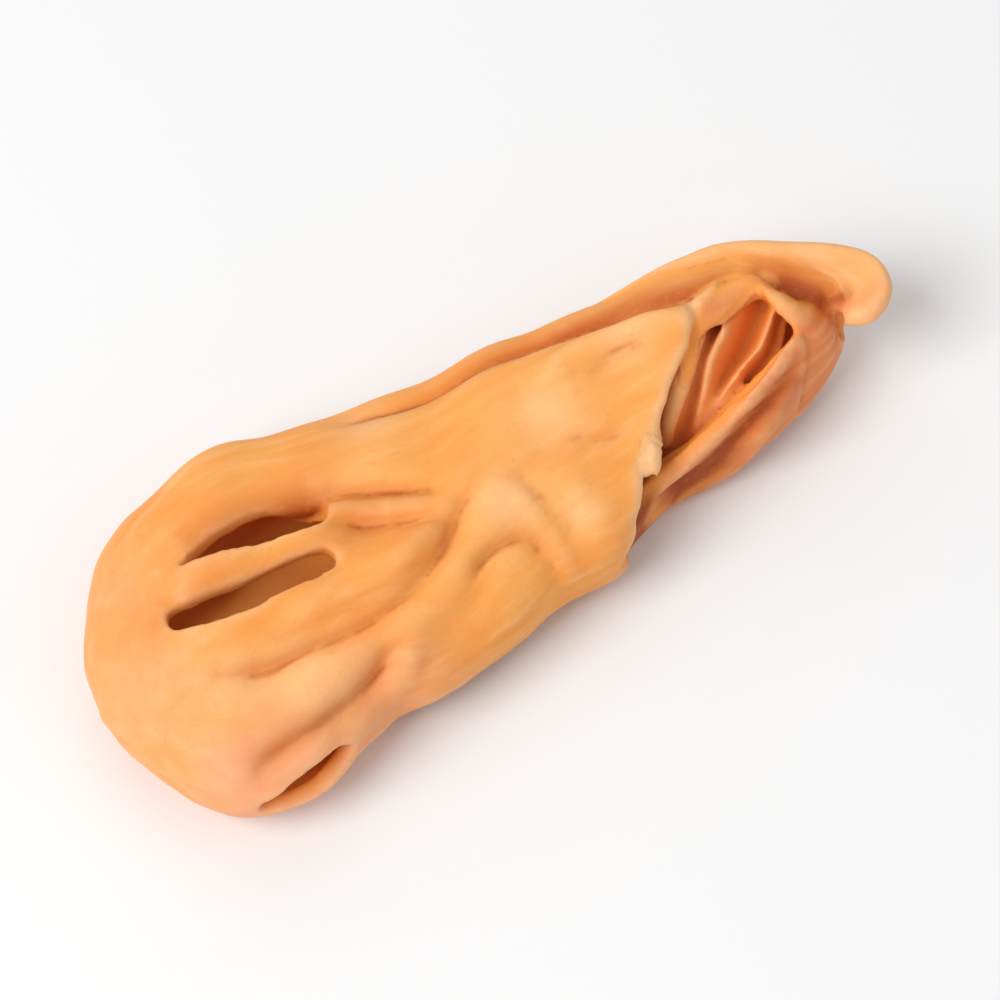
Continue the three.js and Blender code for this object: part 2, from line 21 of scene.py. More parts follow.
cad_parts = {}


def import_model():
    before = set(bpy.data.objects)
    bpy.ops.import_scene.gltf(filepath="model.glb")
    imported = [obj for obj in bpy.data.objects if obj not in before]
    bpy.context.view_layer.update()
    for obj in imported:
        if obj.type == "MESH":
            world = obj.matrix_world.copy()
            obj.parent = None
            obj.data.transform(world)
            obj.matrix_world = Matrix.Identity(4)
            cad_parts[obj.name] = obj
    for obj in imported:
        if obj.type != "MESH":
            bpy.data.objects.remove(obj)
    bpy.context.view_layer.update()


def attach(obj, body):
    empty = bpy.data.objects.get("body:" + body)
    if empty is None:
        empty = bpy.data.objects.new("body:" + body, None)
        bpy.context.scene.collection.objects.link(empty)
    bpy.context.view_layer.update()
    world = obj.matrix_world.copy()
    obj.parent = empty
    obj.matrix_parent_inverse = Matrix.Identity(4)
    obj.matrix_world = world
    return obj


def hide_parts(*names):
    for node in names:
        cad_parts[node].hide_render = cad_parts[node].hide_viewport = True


log = logging.getLogger("aril")

Grid = np.ndarray
Colour = tuple[float, float, float]
Ease = tuple[tuple[float, float], tuple[float, float]]
Socket = bpy.types.NodeSocket
MM = 0.001
FLOW_RADIUS = 6.4


def smoothstep(start: float, end: float, value: Grid) -> Grid:
    """Eases from 0 at start to 1 at end.

    Args:
        start: Value that gives 0.
        end: Value that gives 1, above or below start.
        value: Values to ease.

    Returns:
        The eased values, from 0 to 1.
    """
    u = np.clip((value - start) / (end - start), 0.0, 1.0)
    return u * u * (3.0 - 2.0 * u)


def between(value: Grid, ease: Ease) -> Grid:
    """Eases from 0 to 1 over the first span of an ease and back to 0 over the second."""
    rise, fall = ease
    return smoothstep(*rise, value) * smoothstep(*reversed(fall), value)


def smooth_through(keys: Grid, values: Grid, at: Grid) -> Grid:
    """Runs a smooth curve through values given at rising keys.

    Args:
        keys: Where the values are given.
        values: One value or point for each key.
        at: Where the curve is wanted.

    Returns:
        The curve's value or point for each entry of at.
    """
    keys = np.asarray(keys, float)
    values = np.asarray(values, float)
    at = np.asarray(at, float)
    last = len(keys) - 1
    before = np.maximum(np.arange(last + 1) - 1, 0)
    after = np.minimum(np.arange(last + 1) + 1, last)
    step = keys[after] - keys[before]
    slope = (values[after] - values[before]) / (step[:, None] if values.ndim > 1 else step)
    i = np.clip(np.searchsorted(keys, at, side="left") - 1, 0, last - 1)
    span = keys[i + 1] - keys[i]
    u = np.clip((at - keys[i]) / span, 0.0, 1.0)
    if values.ndim > 1:
        u, span = u[..., None], span[..., None]
    u2, u3 = u * u, u * u * u
    return (
        (2 * u3 - 3 * u2 + 1) * values[i]
        + (u3 - 2 * u2 + u) * span * slope[i]
        + (3 * u2 - 2 * u3) * values[i + 1]
        + (u3 - u2) * span * slope[i + 1]
    )


def unit(vectors: Grid) -> Grid:
    """Scales each vector of an array to length 1."""
    return vectors / np.maximum(np.linalg.norm(vectors, axis=-1, keepdims=True), 1e-9)


def linked(name: str, data: bpy.types.ID) -> bpy.types.Object:
    """Makes an object of a mesh, light or camera and puts it in the scene."""
    item = bpy.data.objects.new(name, data)
    bpy.context.collection.objects.link(item)
    return item


def with_modifiers_run(stand_in: bpy.types.Object) -> bpy.types.Mesh:
    """Runs the modifiers of an object, then removes it with its mesh.

    Args:
        stand_in: The object.

    Returns:
        The mesh that comes out.
    """
    depsgraph = bpy.context.evaluated_depsgraph_get()
    result = bpy.data.meshes.new_from_object(
        stand_in.evaluated_get(depsgraph), preserve_all_data_layers=True, depsgraph=depsgraph
    )
    before = stand_in.data
    bpy.data.objects.remove(stand_in)
    bpy.data.meshes.remove(before)
    return result


def triangles_in(mesh: bpy.types.Mesh) -> int:
    """Counts a mesh's triangles."""
    return sum(len(p.vertices) - 2 for p in mesh.polygons)


class Side(enum.Enum):
    """Which sheet of the flattened sheath a relief line is pressed into."""

    FRONT = 1
    BACK = -1


@dataclass(frozen=True)
class Station:
    """One slanting section of the sheath: its far and near edge points and each sheet's stand-off."""

    far: tuple[float, float, float]
    near: tuple[float, float, float]
    front: float
    back: float


@dataclass(frozen=True)
class Slit:
    """A lens-shaped opening along a rail, from one station to another."""

    start: float
    end: float
    half: float
    ends: tuple[float, float]


@dataclass(frozen=True)
class Rail:
    """A line of (station, degrees) between two ribs, and the slits that open along it."""

    at: tuple[tuple[float, float], ...]
    slits: tuple[Slit, ...]


@dataclass(frozen=True)
class Relief:
    """A crest or hollow along a line in plan: its height, half width and how round its top is.

    A step is how far the sheet to the left of the line stands over the sheet to its right, and the last
    weight is how much painted shade darkens the line as it sinks.
    """

    height: float
    half: float
    line: tuple[tuple[float, float], ...]
    power: float = 2.0
    step: float = 0.0
    shade_weight: float = 1.0
    fade: float = 0.12
    side: Side = Side.FRONT


@dataclass(frozen=True)
class Furrow:
    """A groove or crest near an edge: its line of (station, degrees), height, half width in degrees and how
    much painted shade darkens it as it sinks.
    """

    at: tuple[tuple[float, float], ...]
    height: float
    half: float
    shade_weight: float = 1.0


@dataclass(frozen=True)
class Fold:
    """A crest along a ribbon: its place across it and its height at each point of the ribbon's line.

    flanks are the half widths of its right and its left flank.
    """

    at: tuple[float, ...]
    height: tuple[float, ...]
    flanks: tuple[float, float]


@dataclass
class Samples:
    """Points of the middle of the sheet, with what the wrinkles and the finish need to know there."""

    points: Grid
    normals: Grid
    flow: Grid
    # how much painted shade darkens each point
    crease: Grid
    folded: Grid
    # how much each point is painted paler: painted highlight at the torn edge, the tooth and the pleats'
    # crests, and paler skin along the rim
    edge: Grid


def thickened_grid(
    middle: Grid, top: Grid, under: Grid, present: Callable[[int, int], bool]
) -> bmesh.types.BMesh:
    """Makes a closed sheet from a grid of points.

    Args:
        middle: Points of the sheet's middle, in rows and columns. Points that meet are joined.
        top: Points of the outer face.
        under: Points of the inner face.
        present: Says whether the cell at a row and column is there.

    Returns:
        The closed sheet.
    """
    rows, columns = middle.shape[:2]
    bm = bmesh.new()
    bmesh.ops.create_grid(bm, x_segments=columns - 1, y_segments=rows - 1, size=1.0)
    row = bm.verts.layers.int.new("row")
    column = bm.verts.layers.int.new("column")
    for v in bm.verts:
        v[column] = round((v.co.x + 1) / 2 * (columns - 1))
        v[row] = round((v.co.y + 1) / 2 * (rows - 1))
    absent = [
        f for f in bm.faces if not present(min(v[row] for v in f.verts), min(v[column] for v in f.verts))
    ]
    bmesh.ops.delete(bm, geom=absent, context="FACES")
    for v in bm.verts:
        v.co = middle[v[row], v[column]]
    bmesh.ops.remove_doubles(bm, verts=bm.verts, dist=1e-4)
    made = bmesh.ops.extrude_face_region(bm, geom=bm.faces[:], use_keep_orig=True)
    inner = {g for g in made["geom"] if isinstance(g, bmesh.types.BMVert)}
    for v in bm.verts:
        v.co = (under if v in inner else top)[v[row], v[column]]
    bmesh.ops.recalc_face_normals(bm, faces=bm.faces)
    return bm


@dataclass
class Sheath:
    """The flattened bag that makes the blade's body."""

    sheet: float = 1.0
    thin: float = 0.72
    seam: float = 0.16
    rounding: float = 0.2
    front_fullness: float = 0.9
    back_fullness: float = 0.7
    mouth: float = 10.0
    tip: float = 13.5
    floor: float = 0.0
    # how much thicker the sheet is at the mouth's near corner, and how far from an edge it rounds off
    corner_bulge: float = 0.65
    edge_band: float = 0.17
    # the base's end along the blade, and over what length the way the fibres run widens from it
    base_end: float = -23.5
    base_length: float = 6.0
    # the painted shadow strip past the near corner, where the lobe passes under the sheet's edge: its
    # strength, how far past the mouth it lies and its half width
    strip: tuple[float, float, float] = (1.2, 0.35, 0.28)
    # how deep a hollow is when its painted shade reaches full colour, and the most that painted shade can
    # build up to
    full_shade: float = 0.8
    deepest_shade: float = 1.6
    # degrees round the section over which each part of the mouth eases in and out
    torn_sheet: Ease = ((36, 48), (182, 196))
    thick_corner: Ease = ((120, 150), (190, 215))
    torn_edge: Ease = ((36, 60), (165, 185))
    # where round the section the painted shadow strip lies
    corner_shadow: Ease = ((140, 160), (205, 225))
    # where the torn edge takes a painted highlight
    pale_edge: Ease = ((36, 48), (170, 185))
    cells: tuple[int, ...] = (40, 22, 76, 34, 28, 28, 34)
    stations: tuple[Station, ...] = (
        Station((-23.4, -0.9, 3.0), (-23.4, -0.9, 3.0), 0.0, 0.0),
        Station((-22.7, 2.2, 3.1), (-22.8, -4.0, 3.0), 1.35, 1.1),
        Station((-20.8, 5.5, 3.2), (-21.2, -7.0, 3.1), 2.2, 1.9),
        Station((-17.8, 8.0, 3.3), (-19.1, -9.2, 3.2), 2.7, 2.35),
        Station((-14.3, 9.3, 3.4), (-16.4, -9.5, 3.3), 2.8, 2.5),
        Station((-10.9, 9.6, 3.4), (-13.3, -8.1, 3.3), 2.8, 2.5),
        Station((-7.2, 8.5, 3.4), (-10.6, -7.2, 3.2), 2.8, 2.45),
        Station((-1.6, 7.9, 3.4), (-7.6, -7.7, 3.1), 2.7, 2.4),
        Station((4.6, 7.8, 3.7), (-4.2, -6.8, 3.1), 2.6, 2.4),
        Station((10.4, 6.9, 4.6), (-0.3, -5.6, 3.1), 2.5, 2.75),
        Station((15.8, 5.9, 5.5), (3.6, -5.0, 3.2), 2.4, 3.2),
        Station((17.8, 5.2, 5.7), (7.4, -3.1, 3.0), 2.3, 3.5),
        Station((19.3, 4.3, 5.7), (11.2, -2.9, 2.9), 2.3, 3.5),
        Station((20.4, 3.2, 5.5), (14.9, -2.3, 2.9), 2.2, 3.1),
        Station((21.0, 2.2, 5.5), (18.0, -1.2, 3.1), 1.6, 2.5),
        Station((21.3, 1.3, 5.2), (20.1, 0.0, 3.8), 0.65, 0.75),
    )
    rails: tuple[Rail, ...] = (
        Rail(
            (
                (0, 60), (3.4, 65.5), (4.0, 67), (4.6, 70.5), (5.1, 73), (5.7, 74), (6.5, 71),
                (8, 62), (9.5, 63), (10.2, 60), (11, 46), (12, 38), (15, 50),
            ),
            (Slit(3.4, 5.9, 1.08, (0.7, 0.4)),),
        ),
        Rail(
            (
                (0, 78), (2.6, 79), (3.25, 83.5), (4.3, 90), (5.1, 94.5), (5.8, 95.5), (8, 95),
                (10, 92), (15, 92),
            ),
            (Slit(2.75, 5.75, 0.95, (0.16, 0.14)),),
        ),
        Rail(
            (
                (0, 176), (2.8, 179), (4.0, 175), (5.2, 175), (8, 174), (10, 172),
                (11, 155), (12, 132), (13, 106), (14, 90), (15, 82),
            ),
            (Slit(2.9, 4.75, 0.7, (0.5, 0.5)),),
        ),
        Rail(
            ((0, 218), (5, 220), (10, 216), (15, 200)),
            (Slit(5.7, 8.8, 0.75, (0.4, 0.6)), Slit(11.0, 13.4, 0.55, (0.5, 0.5))),
        ),
        Rail(
            ((0, 264), (4, 262), (8, 268), (12, 262), (15, 262)),
            (Slit(2.0, 4.3, 0.6, (0.5, 0.5)), Slit(5.9, 9.3, 0.85, (0.4, 0.6))),
        ),
        Rail(
            ((0, 312), (5, 314), (10, 318), (15, 322)),
            (Slit(6.3, 9.2, 0.7, (0.6, 0.4)),),
        ),
    )
    relief: tuple[Relief, ...] = (
        # the front sheet dips to its two long slits, with a rib between them
        Relief(-0.5, 1.3, ((-16.3, 4.1), (-14.0, 4.5), (-11.3, 4.3), (-8.6, 4.0))),
        Relief(-0.4, 1.1, ((-19.1, 1.1), (-16.7, 1.1), (-13.8, 0.6), (-9.7, 0.4))),
        Relief(0.25, 0.8, ((-17.5, 2.6), (-13.5, 2.6), (-10.4, 2.4))),
        # the hollow past the slits, with the fine ridges that run together across it
        Relief(-0.75, 1.3, ((-8.8, 1.6), (-7.6, 1.0), (-6.4, 0.5)), shade_weight=0.6, fade=0.4),
        Relief(
            -1.2, 0.55,
            ((-11.2, 4.0), (-10.0, 3.9), (-8.8, 3.6), (-7.5, 3.1), (-6.3, 2.4), (-5.2, 1.7), (-4.1, 1.1)),
            shade_weight=0.75,
            fade=0.2,
        ),
        Relief(0.3, 0.4, ((-8.0, 2.3), (-6.6, 1.5), (-5.4, 0.8), (-4.1, 0.2)), fade=0.3),
        Relief(
            -0.55, 0.5, ((-8.7, 1.9), (-7.6, 1.1), (-6.5, 0.4), (-5.4, -0.2), (-4.5, -0.5)),
            fade=0.3,
        ),
        Relief(
            0.2, 0.6, ((-1.4, 1.1), (-3.0, 0.1), (-4.6, -0.9), (-6.3, -1.4), (-8.0, -1.5), (-9.6, -1.2)),
        ),
        # the long crease where the middle rib overlaps the paler fold under it
        Relief(
            -0.7, 0.4,
            (
                (-18.2, -3.1), (-16.2, -3.7), (-14.1, -3.9), (-11.9, -4.0), (-9.6, -3.9), (-7.6, -3.4),
                (-5.6, -2.5), (-4.2, -1.3), (-2.8, -0.3),
            ),
            1.3, 0.4, 0.9,
        ),
        Relief(-0.25, 0.35, ((-5.9, -1.9), (-7.9, -2.7), (-10.3, -2.9), (-12.8, -2.8), (-14.7, -2.7))),
        Relief(0.25, 0.7, ((-5.4, -1.5), (-7.6, -2.1), (-10.5, -2.1), (-14.0, -1.8))),
        Relief(0.4, 0.9, ((-4.2, -3.1), (-7.0, -4.6), (-10.5, -5.3), (-14.5, -5.3))),
        # the wedge-shaped valley at the near side, and the rib beside it
        Relief(
            -0.9, 0.5, ((-18.6, -7.9), (-15.6, -7.5), (-13.7, -7.1), (-12.0, -6.6), (-10.2, -5.7)),
            1.5, 0.3, 1.2,
        ),
        Relief(0.4, 0.6, ((-8.8, -6.0), (-10.6, -6.8), (-12.4, -7.6), (-13.7, -8.3))),
        # the arched dimple, and the ridge that forks towards the near corner
        Relief(
            -0.55, 0.45,
            ((-4.2, -3.9), (-3.2, -3.4), (-2.3, -3.2), (-1.4, -3.3), (-0.6, -3.8), (-0.2, -4.6)),
            1.5, 0.35,
        ),
        Relief(0.15, 0.4, ((-0.1, -1.2), (0.0, -2.2), (0.2, -3.2), (0.4, -4.2), (0.4, -5.2))),
        Relief(0.2, 0.9, ((-0.6, -0.5), (-1.9, -1.2), (-3.2, -1.9))),
        Relief(-0.25, 0.35, ((0.3, -0.7), (0.6, -1.4), (0.8, -2.1)), 1.5),
        Relief(0.25, 0.9, ((2.6, -1.2), (2.7, -3.0), (3.3, -4.4))),
        Relief(-0.4, 0.35, ((4.1, -0.1), (5.1, -0.6), (6.3, -1.1)), 1.5, 0.15),
        # the fold that runs beside the rim to the mouth's far corner
        Relief(
            0.5, 0.55,
            ((4.6, 3.6), (6.2, 4.1), (7.6, 4.1), (9.1, 4.0), (10.4, 3.8), (11.5, 3.2), (12.9, 2.7)),
        ),
        Relief(-0.4, 0.35, ((6.6, 2.6), (7.7, 3.0), (8.8, 3.1), (9.8, 2.9)), 1.5),
        Relief(0.3, 1.8, ((3.0, 3.2), (5.6, 2.6))),
        # the hollow under the lip
        Relief(-2.8, 1.4, ((18.6, 3.5), (19.3, 2.5), (19.9, 1.4)), 3.0),
        # the back sheet's three strongest ribs, which the blade lies on, and the hollows beside them
        Relief(1.15, 1.7, ((-19.0, -4.3), (-15.5, -5.4), (-11.0, -5.5)), side=Side.BACK),
        Relief(1.15, 1.7, ((-16.5, 4.9), (-12.0, 5.9), (-6.5, 5.6)), side=Side.BACK),
        Relief(0.7, 1.6, ((7.5, 0.4), (12.0, 1.2), (16.0, 1.9)), side=Side.BACK),
        Relief(-0.6, 1.0, ((-19.5, -1.6), (-13.0, -2.3), (-6.0, -2.4), (1.0, -1.4)), side=Side.BACK),
        Relief(-0.6, 1.0, ((-18.5, 1.9), (-12.0, 2.6), (-4.0, 2.8), (3.0, 3.2), (9.0, 3.8)), side=Side.BACK),
    )
    furrows: tuple[Furrow, ...] = (
        # the gully between the rolled rim and the front sheet
        Furrow(
            (
                (6.6, 29), (7.4, 31), (8.2, 34), (8.8, 38), (9.3, 42), (9.8, 45), (10.1, 44),
                (10.6, 36), (11.2, 28), (11.8, 24),
            ),
            -1.2, 8.0, 0.5,
        ),
        # a shallow groove that is mostly painted shade on the gully's floor
        Furrow(
            ((7.4, 27), (8.2, 28), (8.8, 29), (9.2, 30), (9.5, 33), (9.8, 35), (10.1, 33), (10.5, 29)),
            -0.12, 6.5, 6.0,
        ),
        # the near lobe's inner crest, the groove along it and its outer crest
        Furrow(
            ((10.6, 160), (11.15, 152), (11.5, 144), (11.8, 137), (12.2, 130), (12.6, 120), (13.0, 107)),
            0.35, 8.0,
        ),
        Furrow(
            ((10.9, 179), (11.4, 175), (11.8, 166), (12.2, 156), (12.6, 143), (13.0, 129)), -1.0, 10.0, 1.2,
        ),
        # a shallow second groove beside it, mostly painted shade
        Furrow(
            ((11.1, 192), (11.6, 188), (12.0, 179), (12.4, 168), (12.8, 155), (13.2, 142)), -0.35, 10.0, 3.6,
        ),
        Furrow(((11.6, 206), (12.0, 200), (12.4, 188), (12.7, 172), (13.0, 155), (13.4, 136)), 0.35, 9.0),
    )

    def standing(self, t: Grid, angle: Grid) -> Grid:
        """Gives points of the plain bag, before relief.

        Args:
            t: Stations, from 0 at the base.
            angle: Angles round the section, in radians: 0 is the far edge and a quarter turn the front.

        Returns:
            The points.
        """
        keys = np.arange(len(self.stations))
        far = smooth_through(keys, [s.far for s in self.stations], t)
        near = smooth_through(keys, [s.near for s in self.stations], t)
        front = smooth_through(keys, [s.front for s in self.stations], t)
        back = smooth_through(keys, [s.back for s in self.stations], t)
        point = near + (far - near) * ((1 + np.cos(angle)) / 2)[..., None]
        up = np.sin(angle)
        fullness = np.where(up > 0, self.front_fullness, self.back_fullness)
        point[..., 2] += np.sign(up) * np.abs(up) ** fullness * np.where(up > 0, front, back)
        return point

    def normals(self, surface: Callable[[Grid, Grid], Grid], t: Grid, angle: Grid) -> Grid:
        """Gives outward normals of a surface by central differences.

        Args:
            surface: Gives points for stations and angles.
            t: Stations.
            angle: Angles.

        Returns:
            Unit normals.
        """
        step = 0.02
        pole = 0.03
        last = len(self.stations) - 1
        low = np.maximum(pole, t - step)
        high = np.maximum(low + step, np.minimum(last, t + step))
        along = surface(high, angle) - surface(low, angle)
        off_pole = np.maximum(t, pole)
        round_section = surface(off_pole, angle + step) - surface(off_pole, angle - step)
        return unit(np.cross(round_section, along))

    def relief_at(self, point: Grid, up: Grid) -> tuple[Grid, Grid]:
        """Adds up all relief lines and steps at points of the bag.

        Args:
            point: Points of the bag.
            up: Sine of each point's angle round the section.

        Returns:
            Heights, negative in hollows, and how much painted shade darkens the hollows.
        """
        pieces = 5
        cliff_half, cliff_reach = 0.15, 0.9
        total = np.zeros(point.shape[:-1])
        shaded = np.zeros(total.shape)
        for r in self.relief:
            side = smoothstep(0.02, 0.35, r.side.value * up)
            count = pieces * (len(r.line) - 1)
            at = np.linspace(0, len(r.line) - 1, count + 1)
            line = smooth_through(np.arange(len(r.line)), r.line, at)
            best = np.full(total.shape, np.inf)
            where = np.zeros(total.shape)
            left = np.zeros(total.shape)
            for k in range(count):
                start, run = line[k], line[k + 1] - line[k]
                off = point[..., :2] - start
                u = np.clip(off @ run / (run @ run), 0, 1)
                d = np.linalg.norm(off - u[..., None] * run, axis=-1)
                nearer = d < best
                best = np.where(nearer, d, best)
                left = np.where(nearer, run[0] * off[..., 1] - run[1] * off[..., 0], left)
                where = np.where(nearer, (k + u) / count, where)
            end = smoothstep(-r.fade, r.fade, where) * smoothstep(1 + r.fade, 1 - r.fade, where)
            crest = r.height * np.exp(-((best / r.half) ** r.power))
            cliff = r.step * np.sign(left) * np.tanh(best / cliff_half) * np.exp(-best / cliff_reach)
            total += side * end * (crest + cliff)
            shaded += r.shade_weight * side * end * np.maximum(-crest, 0)
        return total, shaded

    def furrows_at(self, t: Grid, angle: Grid) -> tuple[Grid, Grid]:
        """Adds up all furrows.

        Args:
            t: Stations.
            angle: Angles.

        Returns:
            Heights, negative in grooves, and how much painted shade darkens the grooves.
        """
        fade = 0.5
        total = np.zeros(t.shape)
        shaded = np.zeros(t.shape)
        for f in self.furrows:
            stations, degrees = np.array(f.at).T
            off = (np.degrees(angle) - smooth_through(stations, degrees, t)) / f.half
            first, last = stations[0], stations[-1]
            end = smoothstep(first - fade, first + fade, t) * smoothstep(last + fade, last - fade, t)
            height = f.height * np.exp(-(off**2)) * end
            total += height
            shaded += f.shade_weight * np.maximum(-height, 0)
        return total, shaded

    def undulation(self, p: Grid) -> Grid:
        """Gives the slow undulation that the sheet dried into."""
        x, y = p[..., 0], p[..., 1]
        slow = 0.16 * np.sin(0.52 * x + 0.31 * y + 1.1) * np.cos(0.61 * y - 0.2 * x)
        return slow + 0.08 * np.sin(1.15 * x - 0.55 * y + 2.3)

    def surface(self, t: Grid, angle: Grid) -> Grid:
        """Gives points of the middle of the sheet, with relief.

        Args:
            t: Stations.
            angle: Angles.

        Returns:
            The points.
        """
        point = self.standing(t, angle)
        normal = self.normals(self.standing, t, angle)
        grown = smoothstep(0, 1.5, t)
        pressed = self.relief_at(point, np.sin(angle))[0] + self.furrows_at(t, angle)[0]
        height = grown * (pressed + self.undulation(point))
        return point + normal * height[..., None]

    def offsets(self, t: Grid, angle: Grid) -> tuple[Grid, Grid]:
        """Gives how far the outer and the inner face stand off the middle of the sheet.

        Args:
            t: Stations.
            angle: Angles.

        Returns:
            Outer and inner distances.
        """
        degrees = np.degrees(angle)
        to_mouth = t <= self.mouth + 0.01
        past_tip = t >= self.tip - 0.01
        before = smoothstep(self.mouth - 1.6, self.mouth, t) * to_mouth
        after = smoothstep(self.tip + 1.0, self.tip, t) * past_tip
        at_edge = smoothstep(self.edge_band, 0.0, self.mouth - t) * to_mouth
        at_edge += smoothstep(self.edge_band, 0.0, t - self.tip) * past_tip
        thinner = (before + after) * (self.sheet - self.thin) / 2
        half = self.sheet / 2 - between(degrees, self.torn_sheet) * (thinner + self.rounding * at_edge)
        return half + self.corner_bulge * between(degrees, self.thick_corner) * before, half

    def slit_half(self, rail: Rail, t: Grid) -> Grid:
        """Gives half the width of a rail's slit at stations, or of its closed seam."""
        half = np.full(t.shape, self.seam)
        for s in rail.slits:
            u = np.clip((t - s.start) / (s.end - s.start), 0, 1)
            a, b = s.ends
            widest = a / (a + b)
            opened = s.half * u**a * (1 - u) ** b / (widest**a * (1 - widest) ** b)
            half = np.maximum(half, opened)
        return half

    def mouth_offset(self, angle: Grid) -> Grid:
        """Gives how many stations the torn edge of the mouth wanders off at angles."""
        degrees = np.degrees(angle)
        tooth = 0.12 * np.exp(-(((degrees - 116) / 7) ** 2))
        waves = 0.05 * np.sin(5.1 * angle + 0.6) + 0.05 * np.sin(11 * angle)
        bulge = 0.12 * np.exp(-(((degrees - 88) / 14) ** 2))
        return between(degrees, self.torn_edge) * (0.16 + tooth + bulge + waves)

    def tip_offset(self, angle: Grid) -> Grid:
        """Gives how many stations sooner the closed tip begins beside the rim, at angles."""
        degrees = np.degrees(angle)
        return -1.9 * smoothstep(8, 40, degrees) * smoothstep(125, 42, degrees)

    def column_angles(self, t: Grid) -> Grid:
        """Spaces the columns round each section, from rail to rail.

        Args:
            t: Stations of the rows.

        Returns:
            One row of angles for each station.
        """
        borders = [np.zeros(t.shape)]
        off_pole = np.maximum(t, 1)
        step = 0.05
        for rail in self.rails:
            keys, degrees = np.array(rail.at).T
            angle = np.radians(smooth_through(keys, degrees, t))
            reach = self.standing(off_pole, angle + step) - self.standing(off_pole, angle - step)
            half = self.slit_half(rail, t) / (np.linalg.norm(reach, axis=-1) / (2 * step))
            borders += [angle - half, angle + half]
        borders.append(np.full(t.shape, 2 * math.pi))
        parts = []
        for k, count in enumerate(self.cells):
            low, high = borders[2 * k][:, None], borders[2 * k + 1][:, None]
            parts.append(low + (high - low) * np.linspace(0, 1, count + 1))
        return np.concatenate(parts, axis=1)

    def gaps(self) -> list[int]:
        """Lists the column of cells that lies on each rail."""
        return [int(c) for c in np.cumsum([count + 1 for count in self.cells[:-1]]) - 1]

    def rows(self) -> Grid:
        """Lists the stations of the rows, with one row at the mouth and one at the tip."""
        last = len(self.stations) - 1
        return np.concatenate(
            [
                np.linspace(0, 1, 12, endpoint=False),
                np.linspace(1, self.mouth, 180, endpoint=False),
                np.linspace(self.mouth, self.tip, 56, endpoint=False),
                np.linspace(self.tip, last, 19),
            ]
        )

    def make(self) -> tuple[bmesh.types.BMesh, Samples]:
        """Makes the sheath.

        Returns:
            The closed sheet and samples of its middle.
        """
        rows = self.rows()
        angle = self.column_angles(rows)
        row = np.repeat(rows[:, None], angle.shape[1], axis=1)
        last = len(self.stations) - 1
        near_mouth = smoothstep(self.mouth - 1.5, self.mouth, row) * smoothstep(self.tip, self.mouth, row)
        near_tip = smoothstep(self.mouth, self.tip, row) * smoothstep(last, self.tip, row)
        t = row + self.mouth_offset(angle) * near_mouth + self.tip_offset(angle) * near_tip
        middle = self.surface(t, angle)
        normal = self.normals(self.surface, t, angle)
        normal[0] = (-1, 0, 0)
        middle[0] = middle[0, 0]
        outer, inner = self.offsets(row, angle)
        outer[0], inner[0] = self.sheet / 2, self.sheet / 2
        top = middle + normal * outer[..., None]
        top[..., 2] = np.maximum(top[..., 2], self.floor)
        under = middle - normal * inner[..., None]
        for grid in (middle, top, under):
            grid[:, -1] = grid[:, 0]
        gaps = self.gaps()
        centre = (rows[1:] + rows[:-1]) / 2
        opened = [[any(s.start < c < s.end for s in rail.slits) for c in centre] for rail in self.rails]

        def present(i: int, j: int) -> bool:
            """Says whether a cell is part of the sheath."""
            if j in gaps and opened[gaps.index(j)][i]:
                return False
            in_front = gaps[0] <= j <= gaps[2]
            return not (in_front and self.mouth < centre[i] < self.tip)

        solid = thickened_grid(middle, top, under, present)
        middles = [(s.far[0] + s.near[0]) / 2 for s in self.stations]
        along = smooth_through(np.arange(last + 1), middles, t)
        radius = FLOW_RADIUS * np.sqrt(np.clip((along - self.base_end) / self.base_length, 0, 1))
        flow = np.stack([radius * np.cos(angle), radius * np.sin(angle), along], axis=-1)
        # painted shade: the relief's hollows and the furrows' grooves darken, and a painted shadow strip
        # lies past the mouth's near corner
        shaded = self.relief_at(self.standing(t, angle), np.sin(angle))[1] + self.furrows_at(t, angle)[1]
        degrees = np.degrees(angle)
        strength, past, half = self.strip
        dark = np.exp(-(((row - self.mouth - past) / half) ** 2))
        shaded += strength * between(degrees, self.corner_shadow) * dark
        # painted highlight along the torn edge of the mouth
        near_edge = smoothstep(self.mouth - 0.3, self.mouth - 0.02, row) * (row < self.mouth + 0.1)
        samples = Samples(
            middle.reshape(-1, 3),
            normal.reshape(-1, 3),
            flow.reshape(-1, 3),
            np.clip(shaded / self.full_shade, 0, self.deepest_shade).ravel(),
            np.zeros(row.size),
            (between(degrees, self.pale_edge) * near_edge).ravel(),
        )
        return solid, samples


